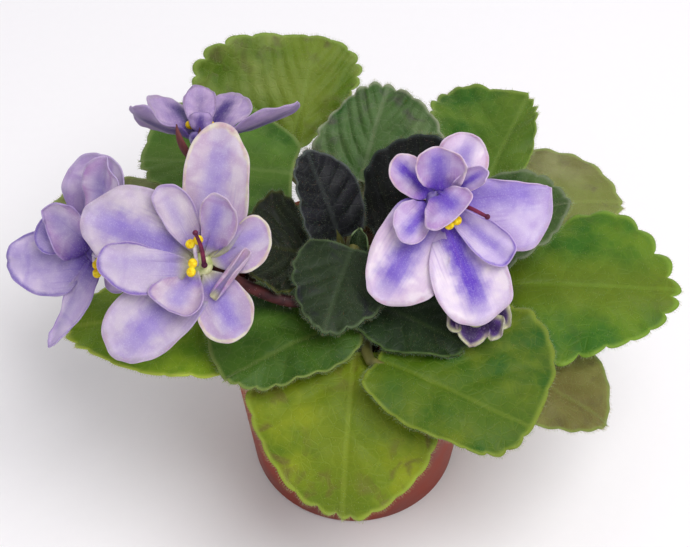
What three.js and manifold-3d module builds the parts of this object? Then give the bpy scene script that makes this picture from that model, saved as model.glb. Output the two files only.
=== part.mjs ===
// A potted African violet: a small tapered pot of soil, a rosette of scalloped leaves on fleshy
// stalks, and two sprays of semi-double blooms. Millimetres, +Z up, -Y towards the front. The origin
// is the centre of the pot's foot.
import * as THREE from "three";
import { mergeVertices } from "three/addons/utils/BufferGeometryUtils.js";
import Module from "manifold-3d";

const wasm = await Module();
wasm.setup();

const degree = Math.PI / 180;
const gap = 0.35; // clear space between touching pieces

// Driving sizes.
const potSize = {
  height: 60, footRadius: 26, topRadius: 31.6, wall: 1.6, floor: 2, sides: 36,
  collarHeight: 11, collarStep: 1.3, edge: 0.7, holeRadius: 2.6, holeCircle: 17, holes: 4,
};
const soilSize = { edgeHeight: 52.5, middleHeight: 56, lump: 0.7, rings: 4 };
const crownSize = { radius: 5.4, shoulder: 4.6, footHeight: 44, topHeight: 70, sides: 12 };
const stalkRadius = 1.7;

// Soft greens from young to old, the back of an old leaf, and the colours of bloom, stem, soil and pot.
const colours = {
  pot: "#8f4a3a", soil: "#2b1d16", crown: "#4c6b2c", youngLeaf: "#37503a", midLeaf: "#43742f",
  outerLeaf: "#6d8f2c", oldLeaf: "#6f6c45", petals: "#ab97dc", stamens: "#f2cf1d", pistil: "#6b1f3f",
  stem: "#4b2a2a", bud: "#50306f",
};
const finishes = { pot: 0.55, soil: 0.95, petals: 0.6, stamens: 0.6, pistil: 0.5, stem: 0.7 };

// Each leaf: its colour, where its stalk leaves the crown (compass angle, height) and how far the stalk
// sags, where its blade starts (compass angle, distance out, height), the blade's heading, its pitch at
// base and tip, its roll towards the tip, the cup of its sides and the height of its waves, a seed for its
// waves and teeth, its length, each side's half width with its bluntness at base and tip, and how far
// the middle of the blade sweeps to its left.
const outerLeaves = [
  // right
  { colour: "outerLeaf", root: [355, 61.5], sag: 1, start: [358, 32.5, 64.8], heading: 360,
    pitch: [2, -10], roll: 8, cup: -12, wave: 0.9, seed: 1,
    length: 42, left: [21, 0.9, 0.5], right: [22.5, 0.2, 0.55], sweep: 2.5 },
  // right, behind and below it
  { colour: "oldLeaf", root: [30, 58.2], sag: -0.8, start: [37, 35.5, 63.4], heading: 14,
    pitch: [1, -16], roll: 6, cup: -8, wave: 0.5, seed: 2,
    length: 39.5, left: [19, 0.45, 0.5], right: [14.5, 0.4, 0.65], sweep: 1.5 },
  // back right
  { colour: "outerLeaf", root: [45, 61.5], sag: 1, start: [38, 38.5, 70], heading: 65,
    pitch: [14, 6], roll: -12, cup: 8, wave: 1, seed: 3,
    length: 30, left: [20.5, 0.75, 0.25], right: [8.5, 0.35, 0.65], sweep: 1 },
  // back
  { colour: "outerLeaf", root: [95, 58.2], sag: -1.2, start: [110, 45, 66], heading: 75,
    pitch: [40, 28], roll: 13, cup: 8, wave: 1, seed: 4,
    length: 28.5, left: [24.5, 0.5, 0.65], right: [15.5, 0.85, 0.45], sweep: 3.5 },
  // back left
  { colour: "midLeaf", root: [120, 61.5], sag: 1, start: [118, 32, 70.5], heading: 176,
    pitch: [8, 2], roll: 0, cup: 6, wave: 0.9, seed: 5,
    length: 36.5, left: [18, 0.4, 0.6], right: [19.5, 0.55, 0.35], sweep: -1 },
  // left, low
  { colour: "oldLeaf", root: [152, 58.2], sag: -0.8, start: [158, 35.5, 63.2], heading: 157,
    pitch: [-2, -12], roll: 0, cup: -8, wave: 0.4, seed: 6,
    length: 45, left: [13, 0.4, 0.5], right: [16, 0.4, 0.55], sweep: 1 },
  // left
  { colour: "outerLeaf", root: [203, 57.8], sag: 1, start: [204, 27, 65.4], heading: 179,
    pitch: [-1, -12], roll: 0, cup: -8, wave: 0.8, seed: 7,
    length: 42, left: [18.5, 0.25, 0.6], right: [13, 0.4, 0.5], sweep: -2.5 },
  // front
  { colour: "outerLeaf", root: [268, 57.8], sag: 0, start: [269, 22, 66], heading: 265,
    pitch: [-4, -62], roll: 0, cup: -8, wave: 0.8, seed: 8,
    length: 38, left: [18.5, 0.45, 0.6], right: [23.5, 0.25, 0.65], sweep: 1 },
  // front right
  { colour: "midLeaf", root: [294, 61.5], sag: -2.4, start: [280, 26.5, 70], heading: 333,
    pitch: [0, -12], roll: 0, cup: -4, wave: 0.9, seed: 9,
    length: 36.5, left: [25.5, 0.5, 0.25], right: [15.5, 0.45, 0.45], sweep: 3 },
  // right, in front and below
  { colour: "oldLeaf", root: [325, 57.8], sag: 0.5, start: [323, 29, 63.4], heading: 339,
    pitch: [-8, -30], roll: 0, cup: -10, wave: 0.4, seed: 10,
    length: 38.5, left: [18, 0.4, 0.5], right: [14, 0.35, 0.65], sweep: 2 },
  // front left
  { colour: "midLeaf", root: [246, 61.5], sag: 1, start: [263, 15.5, 70.3], heading: 211,
    pitch: [2, -8], roll: 0, cup: -10, wave: 0.9, seed: 11,
    length: 31, left: [11, 0.4, 0.65], right: [20.5, 0.45, 0.4], sweep: -1.5 },
];
const middleLeaves = [
  // right
  { colour: "midLeaf", root: [18, 65], sag: 1, start: [23, 21, 74], heading: 7,
    pitch: [12, 2], roll: 0, cup: 8, wave: 0.8, seed: 12,
    length: 30.5, left: [12.5, 0.45, 0.45], right: [17, 0.3, 0.8], sweep: -0.5 },
  // back
  { colour: "midLeaf", root: [100, 65], sag: 1, start: [87, 24.5, 72], heading: 70,
    pitch: [42, 30], roll: 0, cup: 14, wave: 1, seed: 13,
    length: 24, left: [15, 0.3, 0.6], right: [15.5, 0.4, 0.55], sweep: -2.5 },
  // front right
  { colour: "youngLeaf", root: [305, 65], sag: 1, start: [283, 12.5, 73], heading: 331,
    pitch: [0, -8], roll: 0, cup: -8, wave: 0.8, seed: 14,
    length: 24.5, left: [10.5, 0.4, 0.5], right: [12, 0.35, 0.6], sweep: 2.5 },
  // left
  { colour: "youngLeaf", root: [180, 65], sag: 1, start: [179, 10.5, 73.5], heading: 186,
    pitch: [30, 14], roll: 0, cup: 10, wave: 0.7, seed: 15,
    length: 16, left: [14.5, 0.45, 0.35], right: [15, 0.3, 0.55], sweep: -1 },
];
const youngLeaves = [
  // back right
  { colour: "youngLeaf", root: [56, 68], sag: 0.5, start: [42, 7.5, 73.5], heading: 31,
    pitch: [60, 48], roll: 0, cup: 14, wave: 0.6, seed: 16,
    length: 28.5, left: [9, 0.5, 0.65], right: [8, 0.4, 0.5], sweep: 3.5 },
  // back left
  { colour: "youngLeaf", root: [140, 68], sag: 0.5, start: [129, 5, 74.5], heading: 128,
    pitch: [60, 48], roll: 0, cup: 20, wave: 0.5, seed: 17,
    length: 22.5, left: [8, 0.4, 0.55], right: [7, 0.4, 0.65], sweep: -1.5 },
  // front
  { colour: "youngLeaf", root: [262, 68], sag: 0.5, start: [256, 3.5, 80], heading: 254,
    pitch: [0, -14], roll: 0, cup: -8, wave: 0.7, seed: 18,
    length: 22.5, left: [8, 0.45, 0.55], right: [13.5, 0.3, 0.65], sweep: 2.5 },
];
const youngestLeaves = [
  { start: [75, 1.6, 69], heading: 78, pitch: [76, 66], length: 9, half: 2.4, cup: 34 },
  { start: [340, 1.6, 69], heading: 340, pitch: [74, 64], length: 7.5, half: 2.6, cup: 34 },
  { start: [195, 1.6, 69], heading: 195, pitch: [76, 70], length: 6.5, half: 2.4, cup: 36 },
];
const leafShape = { middle: 0.46, lobe: 0.07, toothDepth: 0.035, thickness: 0.9 };
const leafGrid = { outer: [2, 40], middle: [2, 36], young: [2, 32] }; // rings and sectors
const lobePlace = 0.62; // radians round the edge from the base
const lobeSpread = 0.32;
const waveCount = 5; // waves round a blade's edge

// Each bloom: its throat, the compass angle and elevation that it faces, where its two pairs of anthers and
// the tip of its pistil stand (seen by someone whom it faces: right, up, out, and each pair's turn) and where
// they are rooted, and its petals. A petal has its clock angle, anticlockwise from the viewer's right, its
// pitch off the bloom's plane at base and tip, its length from the throat's axis, and its sides, cup, sweep
// and roll as a leaf has, how far ahead of the throat it starts if it is an inner one, and its root's own
// clock angle and distance from the throat's axis where they differ from the others'.
const blooms = {
  front: {
    place: [-33, -15, 88], faces: [-90, 50],
    anthers: [[-1, 4.6, 4.8, 27], [-1.5, -0.8, 4.8, 80]], stamenFoot: [-0.7, 0],
    pistilFoot: [0.9, -0.2], pistil: [-0.4, 6.4, 8.6],
    petals: [
      { clock: 80, pitch: [14, 2], length: 30.3, left: [6.8, 0.75, 0.5], right: [8, 0.4, 0.5], cup: 16 },
      { clock: 156, pitch: [12, 0], length: 27.4, left: [8.4, 0.8, 0.6], right: [9.8, 0.6, 0.6], cup: 10,
        sweep: -0.7 },
      { clock: 229, pitch: [12, 0], length: 26.8, left: [8.1, 0.4, 0.55], right: [8.1, 1, 0.5], cup: 10,
        sweep: -0.6 },
      { clock: 299, pitch: [16, -4], length: 18.2, left: [5.8, 0.8, 0.6], right: [6.4, 1, 0.55], cup: 8 },
      { clock: 29, pitch: [20, -4], length: 16.8, left: [5.1, 1.2, 0.45], right: [4.9, 0.8, 0.6],
        cup: 10, sweep: -1.8 },
      { clock: 178, pitch: [20, 10], length: 22, left: [6.2, 0.75, 0.6], right: [4.9, 0.9, 0.45],
        cup: 20, sweep: 1, ahead: 0.7 },
      { clock: 117, pitch: [18, 14], length: 18.8, left: [3.5, 1, 0.45], right: [4.4, 1, 0.45], cup: 20,
        sweep: -0.5, ahead: 0.7 },
      { clock: 70, pitch: [36, 34], length: 18, left: [4, 1.1, 0.45], right: [4.5, 1, 0.5], cup: 18,
        sweep: -0.8, ahead: 0.8 },
      { clock: 53, root: 290, out: 7.7, pitch: [12, 2], length: 14.6, left: [2, 0.3, 0.3],
        right: [2, 0.3, 0.3], cup: 150, ahead: 1.9 },
      { clock: 238, pitch: [28, 22], length: 12.8, left: [5.2, 1, 0.35], right: [6.2, 1.1, 0.22],
        cup: 24, ahead: 0.7 },
    ],
  },
  right: {
    place: [17.5, -3, 95], faces: [-90, 50],
    anthers: [[2.9, -5, 5.2, 30], [1, -2.4, 4, 30]], stamenFoot: [-0.3, -1.2],
    pistilFoot: [1.2, -0.3], pistil: [10, -3.8, 6.6],
    petals: [
      { clock: 61, pitch: [14, 2], length: 16.1, left: [5.3, 0.8, 0.55], right: [6.2, 0.6, 0.55], cup: 12 },
      { clock: 138, pitch: [18, 6], length: 13.4, left: [4.2, 0.7, 0.55], right: [3.6, 0.9, 0.5], cup: 24 },
      { clock: 239, pitch: [12, -4], length: 25.3, left: [8.3, 0.8, 0.55], right: [9.2, 0.35, 0.5],
        cup: 8, sweep: 1.6 },
      { clock: 291, pitch: [12, -6], length: 28.3, left: [8.6, 1.05, 0.45], right: [8, 1, 0.55], cup: 8 },
      { clock: 6, pitch: [12, -6], length: 24.5, left: [7.7, 0.35, 0.8], right: [9.8, 1.35, 0.5], cup: 8,
        sweep: -4 },
      { clock: 320, pitch: [20, 6], length: 20.5, left: [3.9, 1, 0.4], right: [3.9, 1.05, 0.4], cup: 18,
        ahead: 0.5 },
      { clock: 226, pitch: [36, 14], length: 13, left: [3.8, 0.85, 0.45], right: [4.7, 0.8, 0.55],
        cup: 18, sweep: -0.5, ahead: 0.7 },
      { clock: 92, pitch: [41, 30], length: 13, left: [5.7, 1, 0.45], right: [5.8, 0.9, 0.5], cup: 40,
        sweep: -0.5, ahead: 0.7 },
      { clock: 314, root: 90, pitch: [83, 13], length: 11.7, left: [4.9, 1.2, 0.35],
        right: [7.2, 1.2, 0.3], cup: 12, sweep: -0.6, ahead: 0.8 },
      { clock: 32, pitch: [44, 40], length: 14.5, left: [2.2, 1.2, 0.4], right: [2.4, 1.2, 0.4], cup: 30,
        ahead: 0.6 },
    ],
  },
  back: {
    place: [-34, 12, 99], faces: [90, 42],
    anthers: [[-1.2, -0.6, 2.75, 160], [1.4, -0.4, 2.75, 20]], stamenFoot: [0, -0.6],
    pistilFoot: [0, 0.7], pistil: [-0.4, 1.2, 4],
    sepals: { turns: [50, 94, 198, 270, 342], lengths: [10.5, 9.5, 3.6, 3.6, 3.6], pitch: [24, 84],
      circle: 1.2 },
    petals: [
      { clock: 356, pitch: [22, 22], length: 16.6, left: [7.3, 1, 0.45], right: [8, 0.95, 0.55], cup: 5,
        sweep: -0.5, roll: 20 },
      { clock: 170, pitch: [9, 28], length: 23.6, left: [6.4, 1, 0.45], right: [6.6, 1, 0.5], cup: 12,
        sweep: -0.5 },
      { clock: 240, pitch: [46, 39], length: 17.2, left: [5, 0.95, 0.5], right: [7.1, 0.5, 0.6], cup: 4,
        sweep: -1, roll: 7 },
      { clock: 309, pitch: [49, 36], length: 14.5, left: [9.2, 0.75, 0.5], right: [7.3, 1, 0.45], cup: 5,
        sweep: 1.3, roll: 13 },
      { clock: 276, pitch: [71, 67], length: 13.5, left: [3.8, 0.9, 0.5], right: [3.5, 0.9, 0.5],
        cup: 16, ahead: 0.7 },
      { clock: 96, pitch: [70, 84], length: 6.4, left: [2.8, 0.8, 0.45], right: [2.8, 0.8, 0.45],
        cup: 50, ahead: 0.7 },
    ],
  },
  left: {
    place: [-57.6, -3.8, 79.3], faces: [-115, 45],
    anthers: [[3.6, -0.4, 4, 70], [3.2, -3, 4, 110]], stamenFoot: [0.4, -0.6],
    pistilFoot: [0.4, 1.2], pistil: [5.2, 2.8, 4.4],
    petals: [
      { clock: 96, pitch: [24, 15], length: 23.2, left: [7.6, 0.8, 0.55], right: [8.1, 0.9, 0.55],
        cup: 24 },
      { clock: 204, pitch: [14, 2], length: 21.6, left: [8.2, 0.6, 0.7], right: [7, 0.55, 0.6], cup: 10,
        sweep: 1 },
      { clock: 264, pitch: [14, 9], length: 23.7, left: [5.3, 0.7, 0.55], right: [2.8, 0.6, 0.6],
        cup: 10, sweep: 0.7, roll: 42 },
      { clock: 345, pitch: [20, 8], length: 12, left: [5, 1, 0.45], right: [5, 1, 0.45], cup: 10 },
      { clock: 30, pitch: [20, 8], length: 16, left: [6.2, 1, 0.45], right: [6.2, 1, 0.45], cup: 10 },
      { clock: 173, pitch: [30, 16], length: 13.9, left: [5.3, 0.85, 0.45], right: [6.3, 0.7, 0.65],
        cup: 16, sweep: -0.8, ahead: 0.7 },
      { clock: 86, pitch: [36, 27], length: 24.9, left: [4.6, 0.9, 0.4], right: [6.2, 1, 0.5], cup: 40,
        sweep: -0.6, ahead: 0.7 },
      { clock: 147, pitch: [46, 40], length: 16, left: [5.7, 0.25, 0.9], right: [5.3, 1, 0.35], cup: 30,
        ahead: 0.8 },
    ],
  },
};
const petalShape = {
  middle: 0.58, lobe: 0, teeth: 1, toothDepth: 0, sweep: 0, wave: 0.4, roll: 0, thickness: 0.7,
};
const petalGrid = { outer: [2, 12], inner: [1, 10], bud: [1, 8] };
const throat = { radius: 2.6, tube: 4.5, tubeRadius: 2, lip: 1.9, lipHeight: 1.4, petalCircle: 1.6 };
const anther = { lobe: 1.15, filament: 0.45 };
const style = { radius: 0.4, stigma: 0.65, ovary: 0.7 };

// The half-open bud under the right bloom.
const bud = {
  place: [25.9, -20, 76.4], faces: [-88, 37], sepals: { pitch: [34, 44], lengths: Array(5).fill(3.8) },
  petals: [
    { clock: 256, pitch: [34, 18], length: 7, left: [3.8, 0.4, 0.9], right: [5.2, 0.3, 1], cup: 60 },
    { clock: 333, pitch: [24, 60], length: 7.5, left: [3, 1, 0.4], right: [3, 1, 0.4], cup: 20 },
    { clock: 12, pitch: [24, 40], length: 8.5, left: [3.4, 1, 0.4], right: [3.4, 1, 0.4], cup: 20 },
    { clock: 95, pitch: [36, 30], length: 6.5, left: [3.6, 1, 0.45], right: [3.6, 1, 0.45], cup: 40 },
    { clock: 178, pitch: [36, 24], length: 7.4, left: [3, 1, 0.4], right: [3.4, 1, 0.4], cup: 50 },
  ],
};

// Narrow sepals in a ring behind each bloom, each with its clock angle and its length.
const sepals = {
  turns: [54, 126, 198, 270, 342], lengths: Array(5).fill(6.6), half: 1.2, pitch: [24, 30], behind: 6.4,
  circle: 0.8,
};

// Flower stems: each runs through its points, and one that carries a bloom ends at that bloom's back.
const stems = {
  left: [
    { from: [-4.5, -4.3, 68.6], through: [[-8.4, -8.7, 72.6], [-12.2, -13.4, 73.5], [-18.4, -13.2, 74.8]],
      to: [-29, -9, 77], radii: [1.4, 1.3] },
    { from: [-28.6, -9.2, 76.8], through: [[-31.6, -9.6, 79.6]], bloom: "front", radii: [1.2, 1] },
    { from: [-28.4, -9.2, 76.8], through: [[-31.6, -2, 82], [-34, 5.6, 91]], bloom: "back",
      radii: [1.2, 0.9] },
    { from: [-28.4, -9.2, 76.8], through: [[-38, -7, 75.4], [-48, -3, 74.6]], bloom: "left",
      radii: [1.2, 0.9] },
  ],
  right: [
    { from: [5.9, -0.4, 68.2], through: [[9.3, -1, 74.4]], to: [13, -3.4, 82], radii: [1.4, 1.3] },
    { from: [12.9, -3.3, 81.6], through: [[15.4, -1, 86.4]], bloom: "right", radii: [1.2, 1] },
    { from: [12.8, -3.3, 81.2], through: [[18, -6.4, 81], [22.6, -10, 77.4]], bloom: "bud",
      radii: [1.1, 0.9] },
  ],
};

// A petal as a blade, in its bloom's own frame.
function petalBlade(petal) {
  return {
    ...petalShape, ...petal, length: petal.length - throat.petalCircle, heading: petal.clock,
    seed: petal.clock,
    start: polar([petal.root ?? petal.clock, petal.out ?? throat.petalCircle, petal.ahead ?? 0]),
  };
}

// Solids in and out of manifold-3d.
function solidOf(geometry) {
  const bare = new THREE.BufferGeometry()
    .setAttribute("position", geometry.getAttribute("position").clone());
  bare.setIndex(geometry.index ? geometry.index.clone() : null);
  const merged = mergeVertices(bare, 1e-4);
  const corners = merged.index.array;
  const faces = [];
  for (let i = 0; i < corners.length; i += 3) {
    const [a, b, c] = corners.slice(i, i + 3);
    if (a !== b && b !== c && c !== a) faces.push(a, b, c);
  }
  return new wasm.Manifold(new wasm.Mesh({
    numProp: 3, vertProperties: merged.attributes.position.array, triVerts: new Uint32Array(faces),
  }));
}

function geometryOf(solid) {
  const mesh = solid.getMesh();
  return new THREE.BufferGeometry()
    .setAttribute("position", new THREE.BufferAttribute(new Float32Array(mesh.vertProperties), 3))
    .setIndex(new THREE.BufferAttribute(new Uint32Array(mesh.triVerts), 1));
}

function join(geometries) {
  return geometryOf(geometries.map(solidOf).reduce((whole, next) => whole.add(next)));
}

function cut(geometry, tools) {
  return geometryOf(tools.map(solidOf).reduce((whole, tool) => whole.subtract(tool), solidOf(geometry)));
}

// Where a point of the flat blade goes once the blade is pitched, rolled and cupped. along runs from its
// base to its tip, across to its left and lift off its upper face.
function bentPoint(blade, along, across, lift) {
  const share = along / blade.length;
  const [basePitch, tipPitch] = blade.pitch.map((angle) => angle * degree);
  const bend = (tipPitch - basePitch) / blade.length;
  const pitch = basePitch + bend * along;
  const straight = Math.abs(bend) < 1e-6;
  const out = straight ? along * Math.cos(basePitch) : (Math.sin(pitch) - Math.sin(basePitch)) / bend;
  const up = straight ? along * Math.sin(basePitch) : (Math.cos(basePitch) - Math.cos(pitch)) / bend;
  const half = across > 0 ? blade.left[0] : blade.right[0];
  const turn = (blade.cup * degree * across) / half || 1e-6;
  const side = (across * Math.sin(turn)) / turn;
  const rise = (across * (1 - Math.cos(turn))) / turn + lift;
  const roll = blade.roll * degree * share;
  const heading = blade.heading * degree;
  const ahead = new THREE.Vector3(Math.cos(heading), Math.sin(heading), 0);
  const leftwards = new THREE.Vector3(-Math.sin(heading), Math.cos(heading), 0);
  const normal = ahead.clone().multiplyScalar(-Math.sin(pitch)).setZ(Math.cos(pitch));
  const rolledSide = leftwards.clone().multiplyScalar(Math.cos(roll))
    .addScaledVector(normal, Math.sin(roll));
  const rolledNormal = normal.clone().multiplyScalar(Math.cos(roll))
    .addScaledVector(leftwards, -Math.sin(roll));
  return blade.start.clone()
    .addScaledVector(ahead, out)
    .add(new THREE.Vector3(0, 0, up))
    .addScaledVector(rolledSide, side)
    .addScaledVector(rolledNormal, rise);
}

// The flat blade's edge at an angle round it, 0 at the tip, as [along, across]. A blade with a lobe has
// one on each side of its base, behind where it starts.
function edgePoint(blade, angle) {
  const share = (1 + Math.cos(angle)) / 2;
  const [half, base, tip] = Math.sin(angle) > 0 ? blade.left : blade.right;
  const widest = base / (base + tip);
  const swell = (share ** base * (1 - share) ** tip) / (widest ** base * (1 - widest) ** tip);
  const behind = blade.lobe * Math.exp(-(((Math.abs(Math.PI - angle) - lobePlace) / lobeSpread) ** 2));
  const uneven = 0.75 + 0.4 * Math.sin(3.1 * angle + blade.seed);
  const tooth = 1 + blade.toothDepth * uneven * Math.cos(blade.teeth * angle) * Math.min(1, share * 4);
  const swept = blade.sweep * 4 * share * (1 - share);
  return [
    blade.length * (blade.middle + (share - blade.middle - behind) * tooth),
    Math.sign(Math.sin(angle)) * half * swell * tooth + swept,
  ];
}

// A blade's upper face is a disc of rings and sectors laid into its outline and bent. Its lower face is
// the same triangles, one thickness down. Only the outermost ring has the teeth.
function bladeGeometry(blade, [rings, sectors]) {
  const turns = Array.from({ length: sectors }, (_, i) => (2 * Math.PI * i) / sectors);
  const middle = blade.middle * blade.length;
  const points = [bentPoint(blade, middle, 0, 0)];
  for (let ring = 1; ring <= rings; ring++) {
    const share = ring / rings;
    for (const angle of turns) {
      const [along, across] = edgePoint(ring === rings ? blade : { ...blade, teeth: 0.5 }, angle);
      const wave = blade.wave * share ** 3 * Math.sin(waveCount * angle + blade.seed * 2.3);
      points.push(bentPoint(blade, middle + (along - middle) * share, across * share, wave));
    }
  }
  const faces = [];
  for (let i = 0; i < sectors; i++) {
    const next = (i + 1) % sectors;
    faces.push(0, 1 + i, 1 + next);
    for (let ring = 1; ring < rings; ring++) {
      const [a, b] = [1 + (ring - 1) * sectors + i, 1 + (ring - 1) * sectors + next];
      faces.push(a, a + sectors, b + sectors, a, b + sectors, b);
    }
  }
  return thickened(points, faces, sectors, blade.thickness);
}

// Closes a sheet into a solid. The sheet's last points are its rim, in order.
function thickened(points, faces, rimCount, thickness) {
  const sheet = new THREE.BufferGeometry().setFromPoints(points).setIndex(faces);
  sheet.computeVertexNormals();
  const normals = sheet.getAttribute("normal");
  const lower = points.map((point, i) =>
    point.clone().addScaledVector(new THREE.Vector3().fromBufferAttribute(normals, i), -thickness));
  const count = points.length;
  const all = [...faces];
  for (let i = 0; i < faces.length; i += 3) {
    all.push(count + faces[i], count + faces[i + 2], count + faces[i + 1]);
  }
  const first = count - rimCount;
  for (let i = 0; i < rimCount; i++) {
    const [a, b] = [first + i, first + ((i + 1) % rimCount)];
    all.push(a, count + a, count + b, a, count + b, b);
  }
  return new THREE.BufferGeometry().setFromPoints([...points, ...lower]).setIndex(all);
}

// A closed tapered tube along a smooth curve through points.
function taperedTube(points, radii, sides, steps) {
  const curve = new THREE.CatmullRomCurve3(points, false, "centripetal");
  const frames = curve.computeFrenetFrames(steps, false);
  const tube = new THREE.CylinderGeometry(1, 1, 1, sides, steps);
  const place = tube.getAttribute("position");
  for (let i = 0; i < place.count; i++) {
    const share = place.getY(i) + 0.5;
    const step = Math.round(share * steps);
    const radius = radii[0] + (radii[1] - radii[0]) * share;
    const at = curve.getPointAt(step / steps)
      .addScaledVector(frames.normals[step], place.getX(i) * radius)
      .addScaledVector(frames.binormals[step], -place.getZ(i) * radius);
    place.setXYZ(i, at.x, at.y, at.z);
  }
  return tube;
}

function polar([compass, distance, height]) {
  return new THREE.Vector3(
    distance * Math.cos(compass * degree), distance * Math.sin(compass * degree), height);
}

// A leaf is its blade and its fleshy stalk, which leaves the crown and runs on under the blade as its
// midrib.
function leafGeometry(leaf, grid) {
  const blade = { ...leafShape, ...leaf, start: polar(leaf.start), teeth: grid[1] / 2 };
  const [compass, height] = leaf.root;
  const from = crownSize.radius + gap;
  const root = polar([compass, from, height]);
  const below = bentPoint(blade, -2, 0, -blade.thickness - stalkRadius * 0.7);
  const half = root.clone().lerp(below, 0.5);
  const stalk = taperedTube([
    root, polar([compass, from + 1.5, height]), half.setZ(half.z - leaf.sag), below,
    bentPoint(blade, leaf.length * 0.12, 0, -blade.thickness - 0.5),
    bentPoint(blade, leaf.length * 0.45, 0, -blade.thickness * 0.7),
  ], [stalkRadius, 0.4], 5, 6);
  return join([bladeGeometry(blade, grid), stalk]);
}

// A bloom's own frame: X to the right and Y up, as seen by someone whom it faces, and Z out of its throat.
function bloomFrame({ place, faces }) {
  const [compass, elevation] = faces.map((angle) => angle * degree);
  const outward = new THREE.Vector3(
    Math.cos(elevation) * Math.cos(compass), Math.cos(elevation) * Math.sin(compass), Math.sin(elevation));
  const right = new THREE.Vector3(0, 0, 1).cross(outward).normalize();
  const up = outward.clone().cross(right);
  return new THREE.Matrix4().makeBasis(right, up, outward).setPosition(...place);
}

function petalsGeometry(bloom) {
  const { radius, tube, tubeRadius, lip, lipHeight } = throat;
  const funnel = new THREE.LatheGeometry([
    [0, -tube], [tubeRadius, -tube], [radius, 0], [lip, lipHeight], [0, lipHeight],
  ].map(([r, z]) => new THREE.Vector2(r, z)), 8).rotateX(Math.PI / 2);
  const grid = (petal) => (bloom === bud ? petalGrid.bud : petal.ahead ? petalGrid.inner : petalGrid.outer);
  return join([funnel, ...bloom.petals.map((petal) => bladeGeometry(petalBlade(petal), grid(petal)))]);
}

// Two pairs of anther lobes on bent filaments.
function stamensGeometry(bloom) {
  const foot = throat.lipHeight + gap;
  const outwards = new THREE.Vector3(0, 0, 1);
  const parts = bloom.anthers.flatMap(([x, y, z, turn], i) => {
    const [footX, footY] = bloom.stamenFoot;
    const tube = taperedTube([
      new THREE.Vector3(footX, footY + (i - 0.5) * 0.4, foot),
      new THREE.Vector3(x * 0.45 + footX * 0.6, y * 0.45 + footY * 0.6, foot + (z - foot) * 0.6),
      new THREE.Vector3(x, y, z),
    ], [anther.filament, anther.filament], 4, 2);
    const apart = new THREE.Vector3(anther.lobe * 0.8, 0, 0).applyAxisAngle(outwards, turn * degree);
    const lobes = [-1, 1].map((side) => new THREE.IcosahedronGeometry(anther.lobe, 0)
      .translate(x + side * apart.x, y + side * apart.y, z));
    return [tube, ...lobes];
  });
  return join(parts);
}

// The ovary, its bent style and the stigma at the tip.
function pistilGeometry(bloom) {
  const tip = new THREE.Vector3(...bloom.pistil);
  const foot = new THREE.Vector3(...bloom.pistilFoot, throat.lipHeight + gap + style.ovary * 0.9);
  return join([
    new THREE.IcosahedronGeometry(style.ovary, 0).translate(...foot),
    taperedTube([
      foot, foot.clone().lerp(tip, 0.5).add(new THREE.Vector3(0.3, 0.4, 0.5)), tip,
    ], [style.radius * 1.3, style.radius], 5, 4),
    new THREE.IcosahedronGeometry(style.stigma, 0).translate(...tip),
  ]);
}

// A calyx in the bloom's own frame: a short cup and its ring of narrow sepals.
function calyxParts(bloom) {
  const { turns, lengths, half, pitch, behind, circle } = { ...sepals, ...bloom.sepals };
  const cup = new THREE.CylinderGeometry(1.7, 1, 1.6, 8).rotateX(Math.PI / 2).translate(0, 0, -behind + 0.5);
  const blades = turns.map((turn, i) => bladeGeometry({
    ...petalShape, length: lengths[i], heading: turn, pitch, cup: 20, seed: i, wave: 0,
    left: [half, 0.5, 0.9], right: [half, 0.5, 0.9], start: polar([turn, circle, -behind + 0.9]),
  }, [1, 6]));
  return [cup, ...blades].map((part) => part.applyMatrix4(bloomFrame(bloom)));
}

function stemsGeometry(branches) {
  const parts = branches.flatMap((stem) => {
    const points = [stem.from, ...stem.through].map((point) => new THREE.Vector3(...point));
    const bloom = stem.bloom && { ...blooms, bud }[stem.bloom];
    const end = bloom
      ? new THREE.Vector3(0, 0, -sepals.behind).applyMatrix4(bloomFrame(bloom))
      : new THREE.Vector3(...stem.to);
    const tube = taperedTube([...points, end], stem.radii, 5, 3 + stem.through.length);
    return bloom ? [tube, ...calyxParts(bloom)] : [tube];
  });
  return join(parts);
}

const group = new THREE.Group();

function addMesh(name, geometry, colour, parent = group) {
  const material = new THREE.MeshStandardMaterial({
    color: colours[colour], roughness: finishes[colour] ?? 0.8, metalness: 0,
  });
  const mesh = new THREE.Mesh(geometry, material);
  mesh.name = name;
  parent.add(mesh);
  return mesh;
}

// Pot, with its collar and drain holes.
function potRadius(height) {
  return potSize.footRadius + ((potSize.topRadius - potSize.footRadius) * height) / potSize.height;
}

function potGeometry() {
  const { height, wall, floor, collarHeight, collarStep, edge } = potSize;
  const collarFoot = height - collarHeight;
  const shell = new THREE.LatheGeometry([
    [0, 0], [potSize.footRadius - edge, 0], [potRadius(edge), edge],
    [potRadius(collarFoot - collarStep), collarFoot - collarStep],
    [potRadius(collarFoot) + collarStep, collarFoot], [potRadius(height) + collarStep, height - edge],
    [potRadius(height) + collarStep - edge, height], [potRadius(height) - wall, height],
    [potRadius(floor) - wall, floor], [0, floor],
  ].map(([radius, z]) => new THREE.Vector2(radius, z)), potSize.sides).rotateX(Math.PI / 2);
  const holes = Array.from({ length: potSize.holes }, (_, i) => {
    const angle = ((i + 0.5) * 2 * Math.PI) / potSize.holes;
    return new THREE.CylinderGeometry(potSize.holeRadius, potSize.holeRadius, floor * 4, 8)
      .rotateX(Math.PI / 2)
      .translate(potSize.holeCircle * Math.cos(angle), potSize.holeCircle * Math.sin(angle), 0);
  });
  return cut(shell, holes);
}

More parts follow.
